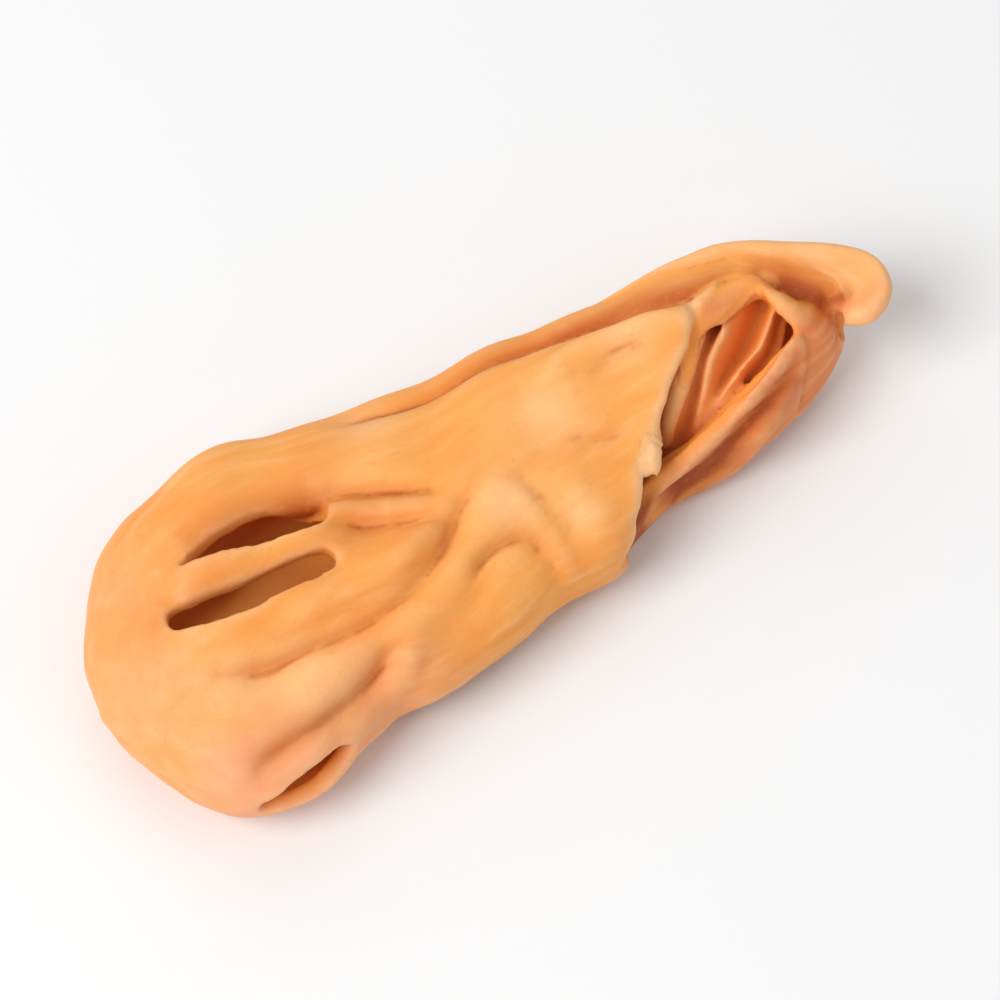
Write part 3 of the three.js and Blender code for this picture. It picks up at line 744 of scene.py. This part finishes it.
@dataclass
class Lobe:
    """A domed ribbon of the sheet along a line, with crests along it, fused to the sheath at its ends.

    blunt rounds the last points of the line off. Between its crests the ribbon is darkened by painted shade,
    by its sunk amount, and pale is how much it is painted paler: painted highlight on the tooth and on the
    high crests of a sunk ribbon, and paler skin with painted highlight along the rim.
    """

    line: tuple[tuple[float, float, float], ...]
    width: tuple[float, ...]
    thickness: tuple[float, ...]
    dome: float
    folds: tuple[Fold, ...] = ()
    blunt: float = 0.0
    inside: float = 0.0
    pale: float = 0.0
    sunk_shade: float = 0.0
    thinnest: float = 0.6
    rows_per_span: int = 16
    columns: int = 21

    def along(self, values: tuple, t: Grid) -> Grid:
        """Gives values or points stated for the line's points at places along it."""
        return smooth_through(np.arange(len(self.line)), values, t)

    def rounding(self, t: Grid) -> Grid:
        """Gives the share of its width and thickness that a blunt end keeps."""
        if self.blunt == 0:
            return np.ones(t.shape)
        into = np.clip((t - len(self.line) + 1 + self.blunt) / self.blunt, 0, 1)
        return np.sqrt(np.maximum(0.03, 1 - into**2))

    def surface(self, t: Grid, v: Grid) -> Grid:
        """Gives points of the ribbon, before its crests.

        Args:
            t: Places along the line, in its points.
            v: Places across it, from -1 to 1.

        Returns:
            The points.
        """
        last = len(self.line) - 1
        ahead = self.along(self.line, np.minimum(last, t + 0.05))
        forward = unit(ahead - self.along(self.line, np.maximum(0, t - 0.05)))
        side = unit(np.cross(np.array([0.0, 0.0, 1.0]), forward))
        up = np.cross(forward, side)
        half = self.along(self.width, t) / 2 * self.rounding(t)
        return self.along(self.line, t) + side * (v * half)[..., None] - up * (self.dome * v * v)[..., None]

    def crests(self, t: Grid, v: Grid) -> Grid:
        """Gives how high the crests stand over the ribbon."""
        power = 3
        total = np.zeros(t.shape)
        for fold in self.folds:
            off = v - self.along(fold.at, t)
            off = np.where(off < 0, -off / fold.flanks[0], off / fold.flanks[1])
            total += (np.maximum(self.along(fold.height, t), 0) * np.exp(-(off**1.8))) ** power
        return total ** (1 / power)

    def make(self) -> tuple[bmesh.types.BMesh, Samples]:
        """Makes the ribbon.

        Returns:
            The closed ribbon and samples of its middle.
        """
        last = len(self.line) - 1
        step = 0.02
        places = np.linspace(0, last, self.rows_per_span * last + 1)
        t, v = np.meshgrid(places, np.linspace(1, -1, self.columns), indexing="ij")
        middle = self.surface(t, v)
        along = self.surface(np.minimum(last, t + step), v) - self.surface(np.maximum(0, t - step), v)
        across = self.surface(t, v + step) - self.surface(t, v - step)
        normal = unit(np.cross(along, across))
        rounded = self.along(self.thickness, t) / 2 * self.rounding(t) * (0.5 + 0.5 * np.sqrt(1 - v * v))
        half = np.maximum(self.thinnest / 2, rounded)
        crests = self.crests(t, v)
        top = middle + normal * (half + crests)[..., None]
        solid = thickened_grid(middle, top, middle - normal * half[..., None], lambda i, j: True)
        lifted = middle + normal * crests[..., None]
        across_ribbon = v * self.along(self.width, t) / 2
        flow = np.stack([FLOW_RADIUS + across_ribbon, 0 * v, middle[..., 0]], axis=-1)
        # painted shade between the crests, deeper near the ribbon's start
        sunk_shade = self.sunk_shade * smoothstep(1.7, 0.5, crests) * (1 + 0.7 * smoothstep(2.2, 0.4, t))
        # painted highlight on the high crests of a ribbon with sunk places; elsewhere paler from the
        # ribbon's start on
        pale = self.pale * (smoothstep(1.2, 2.4, crests) if self.sunk_shade else smoothstep(-0.1, 1.2, t))
        samples = Samples(
            lifted.reshape(-1, 3),
            normal.reshape(-1, 3),
            flow.reshape(-1, 3),
            sunk_shade.ravel(),
            np.full(v.size, self.inside),
            pale.ravel(),
        )
        return solid, samples


@dataclass(frozen=True)
class DriedSkin:
    """Finish of the dried aril: waxy orange-yellow skin, blushed and streaked, redder inside, with painted
    shade in its creases and hollows and painted highlight on its crests and edges.
    """

    name: str = "dried_skin"
    light: Colour = (0.93, 0.39, 0.088)
    deep: Colour = (0.85, 0.28, 0.045)
    blush: Colour = (0.88, 0.36, 0.18)
    rose: Colour = (0.76, 0.21, 0.07)
    pale: Colour = (0.96, 0.58, 0.29)
    inner: Colour = (0.98, 0.36, 0.07)
    # the two colours of the painted shade in creases and hollows
    hollow: Colour = (0.50, 0.10, 0.012)
    darkest_shade: Colour = (0.36, 0.055, 0.004)
    roughness: float = 0.5
    subsurface: float = 0.16

    def material(self) -> bpy.types.Material:
        """Builds the finish.

        Returns:
            The material.
        """
        material = bpy.data.materials.new(self.name)
        material.use_nodes = True
        tree = material.node_tree
        shader = tree.nodes["Principled BSDF"]
        coordinates = tree.nodes.new("ShaderNodeTexCoord").outputs["Object"]

        def attribute(name: str, vector: bool = False) -> Socket:
            """Reads a named value of the mesh."""
            node = tree.nodes.new("ShaderNodeAttribute")
            node.attribute_name = name
            return node.outputs["Vector" if vector else "Fac"]

        def noise_at(place: Socket, scale: float, detail: float, rough: float) -> Socket:
            """Adds a noise pattern."""
            node = tree.nodes.new("ShaderNodeTexNoise")
            tree.links.new(place, node.inputs["Vector"])
            node.inputs["Scale"].default_value = scale
            node.inputs["Detail"].default_value = detail
            node.inputs["Roughness"].default_value = rough
            return node.outputs["Fac"]

        def ramp(value: Socket, low: float, high: float, a: float, b: float) -> Socket:
            """Maps low..high to a..b and holds the ends."""
            node = tree.nodes.new("ShaderNodeMapRange")
            tree.links.new(value, node.inputs["Value"])
            for socket, number in zip(("From Min", "From Max", "To Min", "To Max"), (low, high, a, b)):
                node.inputs[socket].default_value = number
            return node.outputs["Result"]

        def times(a: Socket, b: Socket) -> Socket:
            """Multiplies two values."""
            node = tree.nodes.new("ShaderNodeMath")
            node.operation = "MULTIPLY"
            tree.links.new(a, node.inputs[0])
            tree.links.new(b, node.inputs[1])
            return node.outputs[0]

        def blend(base: Socket | Colour, over: Colour, amount: Socket) -> Socket:
            """Lays a colour over another by an amount."""
            node = tree.nodes.new("ShaderNodeMix")
            node.data_type = "RGBA"
            if isinstance(base, tuple):
                node.inputs["A"].default_value = (*base, 1.0)
            else:
                tree.links.new(base, node.inputs["A"])
            node.inputs["B"].default_value = (*over, 1.0)
            tree.links.new(amount, node.inputs["Factor"])
            return node.outputs["Result"]

        def bump(height: Socket, strength: float, distance: float) -> bpy.types.Node:
            """Adds low relief."""
            node = tree.nodes.new("ShaderNodeBump")
            node.inputs["Strength"].default_value = strength
            node.inputs["Distance"].default_value = distance
            tree.links.new(height, node.inputs["Height"])
            return node

        flow = attribute("flow", vector=True)
        clouds = noise_at(coordinates, 170.0, 3.0, 0.5)
        streaks = noise_at(flow, 1.1, 6.0, 0.55)
        specks = noise_at(coordinates, 1900.0, 2.0, 0.6)
        # each layer's colour, the mask it keeps to, its pattern, and the span that gives its two amounts
        layers = (
            (self.deep, "", clouds, (0.42, 0.72, 0.0, 0.65)),
            (self.deep, "", streaks, (0.5, 0.8, 0.0, 0.6)),
            (self.pale, "", streaks, (0.46, 0.25, 0.0, 0.4)),
            (self.blush, "blush", clouds, (0.3, 0.6, 1.0, 0.5)),
            # paler patches on top: paler skin with painted highlight
            (self.pale, "pale_skin_and_highlight", clouds, (0.3, 0.6, 0.7, 0.4)),
            (self.rose, "rose", clouds, (0.3, 0.6, 0.95, 0.7)),
            # painted highlight: specks of pale on the crests
            (self.pale, "crest", specks, (0.3, 0.7, 0.25, 0.5)),
            # painted shade: creases and hollows take the hollow colour
            (self.hollow, "crease", streaks, (0.3, 0.7, 0.8, 1.0)),
            # painted shade: the deepest creases go darker still
            (self.darkest_shade, "", attribute("crease"), (0.85, 1.35, 0.0, 0.8)),
            # painted highlight on the torn edge, the tooth and the pleats' crests, and paler skin along the
            # rim
            (self.pale, "edge", streaks, (0.3, 0.7, 0.9, 0.6)),
        )
        colour = self.light
        for over, mask, pattern, span in layers:
            amount = ramp(pattern, *span)
            colour = blend(colour, over, times(attribute(mask), amount) if mask else amount)
        colour = blend(colour, self.inner, attribute("inside"))
        colour = blend(colour, self.deep, ramp(specks, 0.6, 0.8, 0.0, 0.35))
        tree.links.new(colour, shader.inputs["Base Color"])

        rough = ramp(streaks, 0.25, 0.75, self.roughness - 0.08, self.roughness + 0.14)
        tree.links.new(rough, shader.inputs["Roughness"])
        shader.inputs["Subsurface Weight"].default_value = self.subsurface
        shader.inputs["Subsurface Radius"].default_value = (1.0, 0.35, 0.12)
        shader.inputs["Subsurface Scale"].default_value = 0.0009
        shader.inputs["Specular IOR Level"].default_value = 0.3

        fibres = bump(noise_at(flow, 4.2, 5.0, 0.62), 0.35, 0.0001)
        pores = bump(noise_at(coordinates, 2600.0, 4.0, 0.6), 0.3, 0.00006)
        tree.links.new(fibres.outputs["Normal"], pores.inputs["Normal"])
        tree.links.new(pores.outputs["Normal"], shader.inputs["Normal"])
        return material


@dataclass
class Aril:
    """The whole aril: sheath, pleats and lip fused into one skin."""

    node: str = "aril"
    centre: tuple[float, float] = (-0.25, 0.18)
    # places on top that are painted paler, partly skin that dried paler and partly painted highlight and
    # painted light on folds in shade: x, y and radius
    pale_skin_and_highlight: tuple[tuple[float, float, float], ...] = (
        (3.4, 1.5, 2.2), (-0.9, -1.7, 1.7), (-14.5, -5.2, 2.0), (-17.6, -4.2, 1.6), (9.3, 3.4, 1.5),
        (-4.6, 6.6, 1.6), (2.3, -3.6, 1.2), (-13.8, -6.5, 1.5),
    )
    # the wrinkles: strength, scale across the fibres and along them, and shift of the pattern
    wrinkles: tuple[tuple[float, float, float, float, float], ...] = (
        (0.05, 1.3, 0.14, 0.0, 0.0), (0.07, 0.45, 0.12, 7.0, 0.0), (0.05, 0.8, 0.5, 0.0, 3.0),
    )
    voxel: float = 0.17
    # how often the fused skin and its masks, its stepped places and the run of its fibres are smoothed
    smoothing: int = 3
    evening: int = 5
    drawing: int = 6
    # how far a point stands out of the skin round it where the fused skin is stepped
    stepped: float = 0.04
    # how often a copy is smoothed to tell crests from creases
    spread: int = 24
    most_triangles: int = 196000
    sheath: Sheath = field(default_factory=Sheath)
    finish: DriedSkin = field(default_factory=DriedSkin)
    lobes: tuple[Lobe, ...] = (
        # the rolled rim, which runs on round the tip and ends in the blunt lip
        Lobe(
            (
                (9.5, 6.9, 5.0), (12.0, 6.5, 5.6), (14.5, 6.2, 6.05), (17.0, 5.8, 6.25), (19.5, 4.5, 6.3),
                (21.5, 2.95, 6.2), (22.4, 1.6, 6.1), (22.4, 0.3, 6.0), (21.5, -0.4, 5.8), (20.4, -0.2, 5.5),
            ),
            (0.3, 0.6, 0.8, 0.7, 0.5, 1.2, 1.75, 1.7, 1.5, 1.1),
            (0.8, 1.4, 1.5, 1.4, 1.3, 1.3, 1.2, 1.1, 1.0, 0.9),
            0.3,
            (
                Fold(
                    (0, 0, 0, 0, 0, 0.2, 0.45, 0.5, 0.45, 0.3),
                    (0, 0, 0, 0, 0, 0.2, 0.5, 0.5, 0.35, 0.1),
                    (0.5, 0.5),
                ),
            ),
            blunt=0.9,
            # paler skin with painted highlight along the rim and lip
            pale=0.35,
        ),
        # the web that closes the hook of the lip from below
        Lobe(
            ((21.6, 1.9, 5.5), (21.2, 0.9, 5.3), (20.9, 0.3, 5.1)),
            (1.7, 1.9, 1.7),
            (0.7, 0.7, 0.7),
            0.2,
            # painted shade over the web, in the hollow of the hook
            sunk_shade=0.8,
        ),
        # the fold from the sheet's far corner to the knot under the rim
        Lobe(
            (
                (12.4, 3.0, 6.5), (13.1, 3.0, 6.9), (14.3, 3.1, 6.8), (15.7, 3.3, 6.6), (16.9, 3.5, 6.4),
                (17.8, 3.4, 6.1),
            ),
            (1.0, 1.4, 1.4, 1.3, 1.3, 0.8),
            (0.9, 1.0, 1.0, 1.0, 0.9, 0.7),
            0.5,
            pale=0.2,
        ),
        # the pleat that shows right under the sheet's edge
        Lobe(
            (
                (13.0, 2.7, 6.3), (12.1, 1.9, 6.2), (11.3, 1.1, 6.0), (10.6, 0.5, 5.7), (9.9, -0.1, 5.2),
                (9.3, -0.6, 4.4), (8.9, -0.8, 2.8),
            ),
            (0.7, 0.9, 1.0, 1.0, 0.8, 0.6, 0.5),
            (0.8, 0.9, 0.9, 0.9, 0.8, 0.7, 0.6),
            0.4,
            inside=0.05,
            pale=0.15,
        ),
        # the fan of pleats inside the mouth, which gathers in the knot
        Lobe(
            (
                (8.0, -1.6, 1.2), (10.3, -0.9, 1.5), (12.2, 0.1, 2.2),
                (13.9, 1.2, 2.9), (15.6, 2.4, 3.6), (17.7, 3.6, 4.7),
            ),
            (3.0, 3.8, 4.7, 5.2, 4.8, 3.4),
            (0.9, 0.9, 0.9, 0.9, 0.9, 0.9),
            0.2,
            (
                Fold((0.5, 0.62, 0.74, 0.85, 0.9, 0.9), (0.1, 1.8, 3.3, 3.3, 2.4, 0.8), (0.2, 0.3)),
                Fold((0.26, 0.34, 0.36, 0.46, 0.6, 0.6), (0.1, 2.2, 3.1, 3.1, 2.7, 0.8), (0.2, 0.25)),
                Fold((-0.2, -0.15, -0.03, 0.13, 0.12, 0.2), (0.1, 0.8, 2.3, 2.7, 2.5, 1.0), (0.17, 0.2)),
                Fold((-0.5, -0.35, -0.28, -0.38, -0.6, -0.6), (0.5, 1.0, 1.7, 2.1, 2.1, 1.2), (0.16, 0.2)),
                Fold((-1.0, -1.0, -1.0, -1.0, -1.0, -1.0), (0.4, 0.8, 1.1, 1.1, 0.8, 0.4), (0.2, 0.2)),
            ),
            inside=0.05,
            # painted highlight on the high pleats, painted shade between them
            pale=0.3,
            sunk_shade=0.9,
            columns=73,
        ),
        # the tooth that curls over the torn edge
        Lobe(
            ((8.1, 0.7, 6.0), (7.8, -0.4, 6.15), (7.35, -1.6, 6.15), (6.95, -2.6, 5.9), (6.75, -3.4, 5.4)),
            (0.4, 1.1, 1.5, 1.1, 0.5),
            (0.6, 0.6, 0.65, 0.65, 0.6),
            0.5,
            blunt=0.5,
            # painted highlight over the whole tooth
            pale=1.0,
        ),
    )

    def fused(self) -> tuple[bpy.types.Mesh, Samples]:
        """Makes all pieces and fuses them into one skin.

        Returns:
            The skin, in millimetres, and samples of the middle of the sheet.
        """
        made = [self.sheath.make()] + [lobe.make() for lobe in self.lobes]
        joined = bmesh.new()
        for bm, _ in made:
            piece = bpy.data.meshes.new("piece")
            bm.to_mesh(piece)
            bm.free()
            joined.from_mesh(piece)
            bpy.data.meshes.remove(piece)
        mesh = bpy.data.meshes.new("joined")
        joined.to_mesh(mesh)
        joined.free()
        stand_in = linked("joined", mesh)
        remesh = stand_in.modifiers.new("fuse", "REMESH")
        remesh.mode = "VOXEL"
        remesh.voxel_size = self.voxel
        parts = [samples for _, samples in made]
        together = Samples(
            *(np.concatenate([getattr(s, name) for s in parts]) for name in Samples.__dataclass_fields__)
        )
        return with_modifiers_run(stand_in), together

    def nearest(self, points: Grid, samples: Samples) -> tuple[Grid, Grid]:
        """Reads the samples nearest to each point of the skin.

        Args:
            points: Points of the skin.
            samples: The middle of the sheet.

        Returns:
            Where the fibres run, and for each point how much painted shade its crease gives it, how much it
            is painted paler near the edge and how much it is inside.
        """
        tree = KDTree(len(samples.points))
        for index, point in enumerate(samples.points):
            tree.insert(point, index)
        tree.balance()
        flow = np.empty_like(points)
        masks = np.empty_like(points)
        for index, point in enumerate(points):
            found = tree.find_n(point, 3)
            near = [k for _, k, _ in found]
            weight = np.array([1 / (d + 0.02) for _, _, d in found])
            weight /= weight.sum()
            flow[index] = weight @ samples.flow[near]
            inward = -(point - samples.points[near[0]]) @ samples.normals[near[0]]
            inside = max(samples.folded[near[0]], min(1.0, max(0.0, 0.5 + 1.6 * inward)))
            masks[index] = (weight @ samples.crease[near], weight @ samples.edge[near], inside)
        return flow, masks

    def wrinkle(self, x: float, y: float, z: float) -> float:
        """Gives how high the wrinkles stand at a place of the fibres' run."""
        return sum(
            strength * noise.noise(Vector((across * x + right, across * y + up, along * z)))
            for strength, across, along, right, up in self.wrinkles
        )

    def masks(self, place: Grid, proud: Grid, crease: Grid, edge: Grid) -> dict[str, Grid]:
        """Works out where the finish blushes and pales, and where shade and highlight are painted into it.

        Args:
            place: Points of the wrinkled skin.
            proud: How far each stands over the skin round it.
            crease: How much painted shade the relief puts on it.
            edge: How much it is painted paler: painted highlight at the torn edge, the tooth and the pleats'
                crests, and paler skin along the rim.

        Returns:
            The masks by name.
        """
        x, y, z = place.T
        blush = np.maximum(0.6 * smoothstep(-15, -22, x), smoothstep(-3, -8, y) * smoothstep(-4, -12, x))
        past_edge = smoothstep(0, 0.8, x - 10.2 - 0.9 * y)
        below_rim = smoothstep(0.7, -0.5, y - 3.2 + 2.8 * smoothstep(16.2, 17.6, x))
        rose = past_edge * below_rim * (1 - edge)
        # paler patches, only on top: paler skin with painted highlight
        pale_skin_and_highlight = sum(np.exp(-((x - a) ** 2 + (y - b) ** 2) / r**2) for a, b, r in self.pale_skin_and_highlight)
        pale_skin_and_highlight = np.minimum(pale_skin_and_highlight, 1) * smoothstep(3.0, 5.0, z)
        blush = blush * (1 - 0.7 * np.maximum(pale_skin_and_highlight, np.clip(crease, 0, 1)))
        # painted shade in the hollow under the lip's hook
        lip_shadow = smoothstep(2.6, 0.8, np.hypot(x - 19.1, y - 2.1)) * smoothstep(6.9, 5.8, z)
        # painted shade: the relief's hollows, the skin's creases and the hollow under the lip
        crease = np.maximum.reduce([0.9 * crease, smoothstep(0.015, 0.13, -proud), 0.9 * lip_shadow])
        # painted highlight on the points that stand proud of the skin round them
        crest = smoothstep(0.01, 0.1, proud)
        pale_skin_and_highlight = pale_skin_and_highlight * (1 - np.clip(crease, 0, 1))
        return {"crease": crease, "blush": blush, "rose": rose, "crest": crest, "edge": edge, "pale_skin_and_highlight": pale_skin_and_highlight}

    def wrinkled(self, mesh: bpy.types.Mesh, samples: Samples) -> None:
        """Smooths the skin, wrinkles it along the ribs and stores what its finish reads.

        Args:
            mesh: The fused skin, in millimetres.
            samples: The middle of the sheet.
        """
        bm = bmesh.new()
        bm.from_mesh(mesh)
        self.smooth(bm, self.smoothing)
        self.smooth(bm, self.evening, np.abs(self.proud(bm)) > self.stepped)
        bm.normal_update()
        points = np.array([v.co for v in bm.verts])
        normals = np.array([v.normal for v in bm.verts])
        flow, masks = self.nearest(points, samples)
        flow = self.evened(bm, flow, self.drawing)
        crease, edge, inside = self.evened(bm, masks, self.smoothing).T
        height = np.array([self.wrinkle(*place) for place in flow])
        moved = points + normals * height[:, None]
        moved[:, 2] = np.maximum(moved[:, 2], 0.0)
        for v, co in zip(bm.verts, moved):
            v.co = co
        stored = self.masks(moved, self.proud(bm), crease, edge) | {"inside": inside}
        bm.to_mesh(mesh)
        bm.free()
        for name, values in stored.items():
            layer = mesh.attributes.new(name, "FLOAT", "POINT")
            layer.data.foreach_set("value", values.astype(np.float32))
        layer = mesh.attributes.new("flow", "FLOAT_VECTOR", "POINT")
        layer.data.foreach_set("vector", (flow * (1, 1, 0.2)).astype(np.float32).ravel())

    def smooth(self, bm: bmesh.types.BMesh, times: int, chosen: Grid | None = None) -> None:
        """Moves vertices half way to the middle of their neighbours, a number of times.

        Args:
            bm: The skin.
            times: How often they are moved.
            chosen: Which vertices are moved, or None for all of them.
        """
        moved = bm.verts[:] if chosen is None else [v for v, take in zip(bm.verts, chosen) if take]
        for _ in range(times):
            bmesh.ops.smooth_vert(
                bm, verts=moved, factor=0.5, use_axis_x=True, use_axis_y=True, use_axis_z=True
            )

    def evened(self, bm: bmesh.types.BMesh, values: Grid, times: int) -> Grid:
        """Smooths three values of each vertex over the skin, as if they were a place.

        Args:
            bm: The skin.
            values: Three values for each vertex.
            times: How often they are smoothed.

        Returns:
            The smoothed values.
        """
        stand_in = bm.copy()
        for v, co in zip(stand_in.verts, values):
            v.co = co
        self.smooth(stand_in, times)
        evened = np.array([v.co for v in stand_in.verts])
        stand_in.free()
        return evened

    def proud(self, bm: bmesh.types.BMesh) -> Grid:
        """Gives how far each point of the skin stands over the skin round it, negative in creases."""
        even = bm.copy()
        self.smooth(even, self.spread)
        bm.normal_update()
        sharp = np.array([v.co for v in bm.verts])
        level = np.array([v.co for v in even.verts])
        normal = np.array([v.normal for v in bm.verts])
        even.free()
        return np.sum((sharp - level) * normal, axis=1)

    def thinned(self, mesh: bpy.types.Mesh) -> bpy.types.Mesh:
        """Merges the skin's faces, the flattest first, until it has few enough triangles.

        Args:
            mesh: The skin.

        Returns:
            The skin with fewer faces.
        """
        stand_in = linked("full", mesh)
        merge = stand_in.modifiers.new("merge", "DECIMATE")
        merge.ratio = min(1.0, self.most_triangles / triangles_in(mesh))
        return with_modifiers_run(stand_in)

    def make(self) -> bpy.types.Object:
        """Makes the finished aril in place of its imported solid.

        Returns:
            The aril.
        """
        mesh, samples = self.fused()
        self.wrinkled(mesh, samples)
        mesh = self.thinned(mesh)
        mesh.transform(Matrix.Scale(MM, 4) @ Matrix.Translation((-self.centre[0], -self.centre[1], 0)))
        mesh.polygons.foreach_set("use_smooth", [True] * len(mesh.polygons))
        mesh.materials.clear()
        mesh.materials.append(self.finish.material())
        mesh.name = "aril_skin"
        skin = linked("aril_skin", mesh)
        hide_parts(self.node)
        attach(skin, "root")
        log.info("aril_skin: %d triangles", triangles_in(mesh))
        return skin


@dataclass
class Studio:
    """A pale floor, soft light and the camera at the photograph's angle."""

    azimuth: float = -30.0
    elevation: float = 58.0
    lens: float = 150.0
    distance: float = 0.215
    target: tuple[float, float, float] = (0.0, 0.0, 0.0035)
    floor_shade: float = 0.86
    floor_radius: float = 1.6
    surround: float = 0.36
    lamp_distance: float = 0.5
    # each soft light: name, azimuth, elevation, side of its square and watts
    lights: tuple[tuple[str, float, float, float, float], ...] = (
        ("key", -85.0, 46.0, 0.32, 2.1), ("fill", 40.0, 40.0, 0.6, 0.55), ("back", 165.0, 42.0, 0.4, 0.5),
    )

    def floor(self) -> bpy.types.Object:
        """Makes the floor.

        Returns:
            The floor.
        """
        bm = bmesh.new()
        bmesh.ops.create_circle(bm, cap_ends=True, segments=96, radius=self.floor_radius)
        mesh = bpy.data.meshes.new("floor")
        bm.to_mesh(mesh)
        bm.free()
        material = bpy.data.materials.new("pale_floor")
        material.use_nodes = True
        shader = material.node_tree.nodes["Principled BSDF"]
        shader.inputs["Base Color"].default_value = (*[self.floor_shade] * 3, 1.0)
        shader.inputs["Roughness"].default_value = 0.9
        mesh.materials.append(material)
        floor = linked("floor", mesh)
        return floor

    def light(self, name: str, azimuth: float, elevation: float, size: float, watts: float) -> None:
        """Adds a soft light that faces the aril.

        Args:
            name: Name of the light.
            azimuth: Direction it comes from, as the camera's.
            elevation: Its height above the horizon, in degrees.
            size: Side of its square, in metres.
            watts: Its power.
        """
        lamp = bpy.data.lights.new(name, "AREA")
        lamp.size = size
        lamp.energy = watts
        item = linked(name, lamp)
        place = self.direction(azimuth, elevation) * self.lamp_distance
        item.location = place
        item.rotation_euler = place.to_track_quat("Z", "Y").to_euler()

    def direction(self, azimuth: float, elevation: float) -> Vector:
        """Gives the unit vector from the aril towards an azimuth and elevation."""
        a, e = math.radians(azimuth), math.radians(elevation)
        return Vector((math.sin(a) * math.cos(e), -math.cos(a) * math.cos(e), math.sin(e)))

    def camera(self) -> None:
        """Adds the camera and makes it the scene's."""
        data = bpy.data.cameras.new("camera")
        data.lens = self.lens
        data.sensor_width = 36.0
        data.clip_start = 0.01
        camera = linked("camera", data)
        away = self.direction(self.azimuth, self.elevation)
        camera.location = Vector(self.target) + away * self.distance
        camera.rotation_euler = away.to_track_quat("Z", "Y").to_euler()
        bpy.context.scene.camera = camera

    def make(self) -> None:
        """Makes the floor, lights, surrounding light and camera."""
        self.floor()
        for light in self.lights:
            self.light(*light)
        world = bpy.data.worlds.new("surround")
        world.use_nodes = True
        background = world.node_tree.nodes["Background"]
        background.inputs["Color"].default_value = (1.0, 1.0, 1.0, 1.0)
        background.inputs["Strength"].default_value = self.surround
        bpy.context.scene.world = world
        bpy.context.scene.view_settings.view_transform = "Standard"
        self.camera()


def main() -> None:
    """Builds the aril and its studio."""
    logging.basicConfig(level=logging.INFO, format="%(name)s: %(message)s")
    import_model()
    Aril().make()
    Studio().make()


if __name__ == "__main__":
    main()
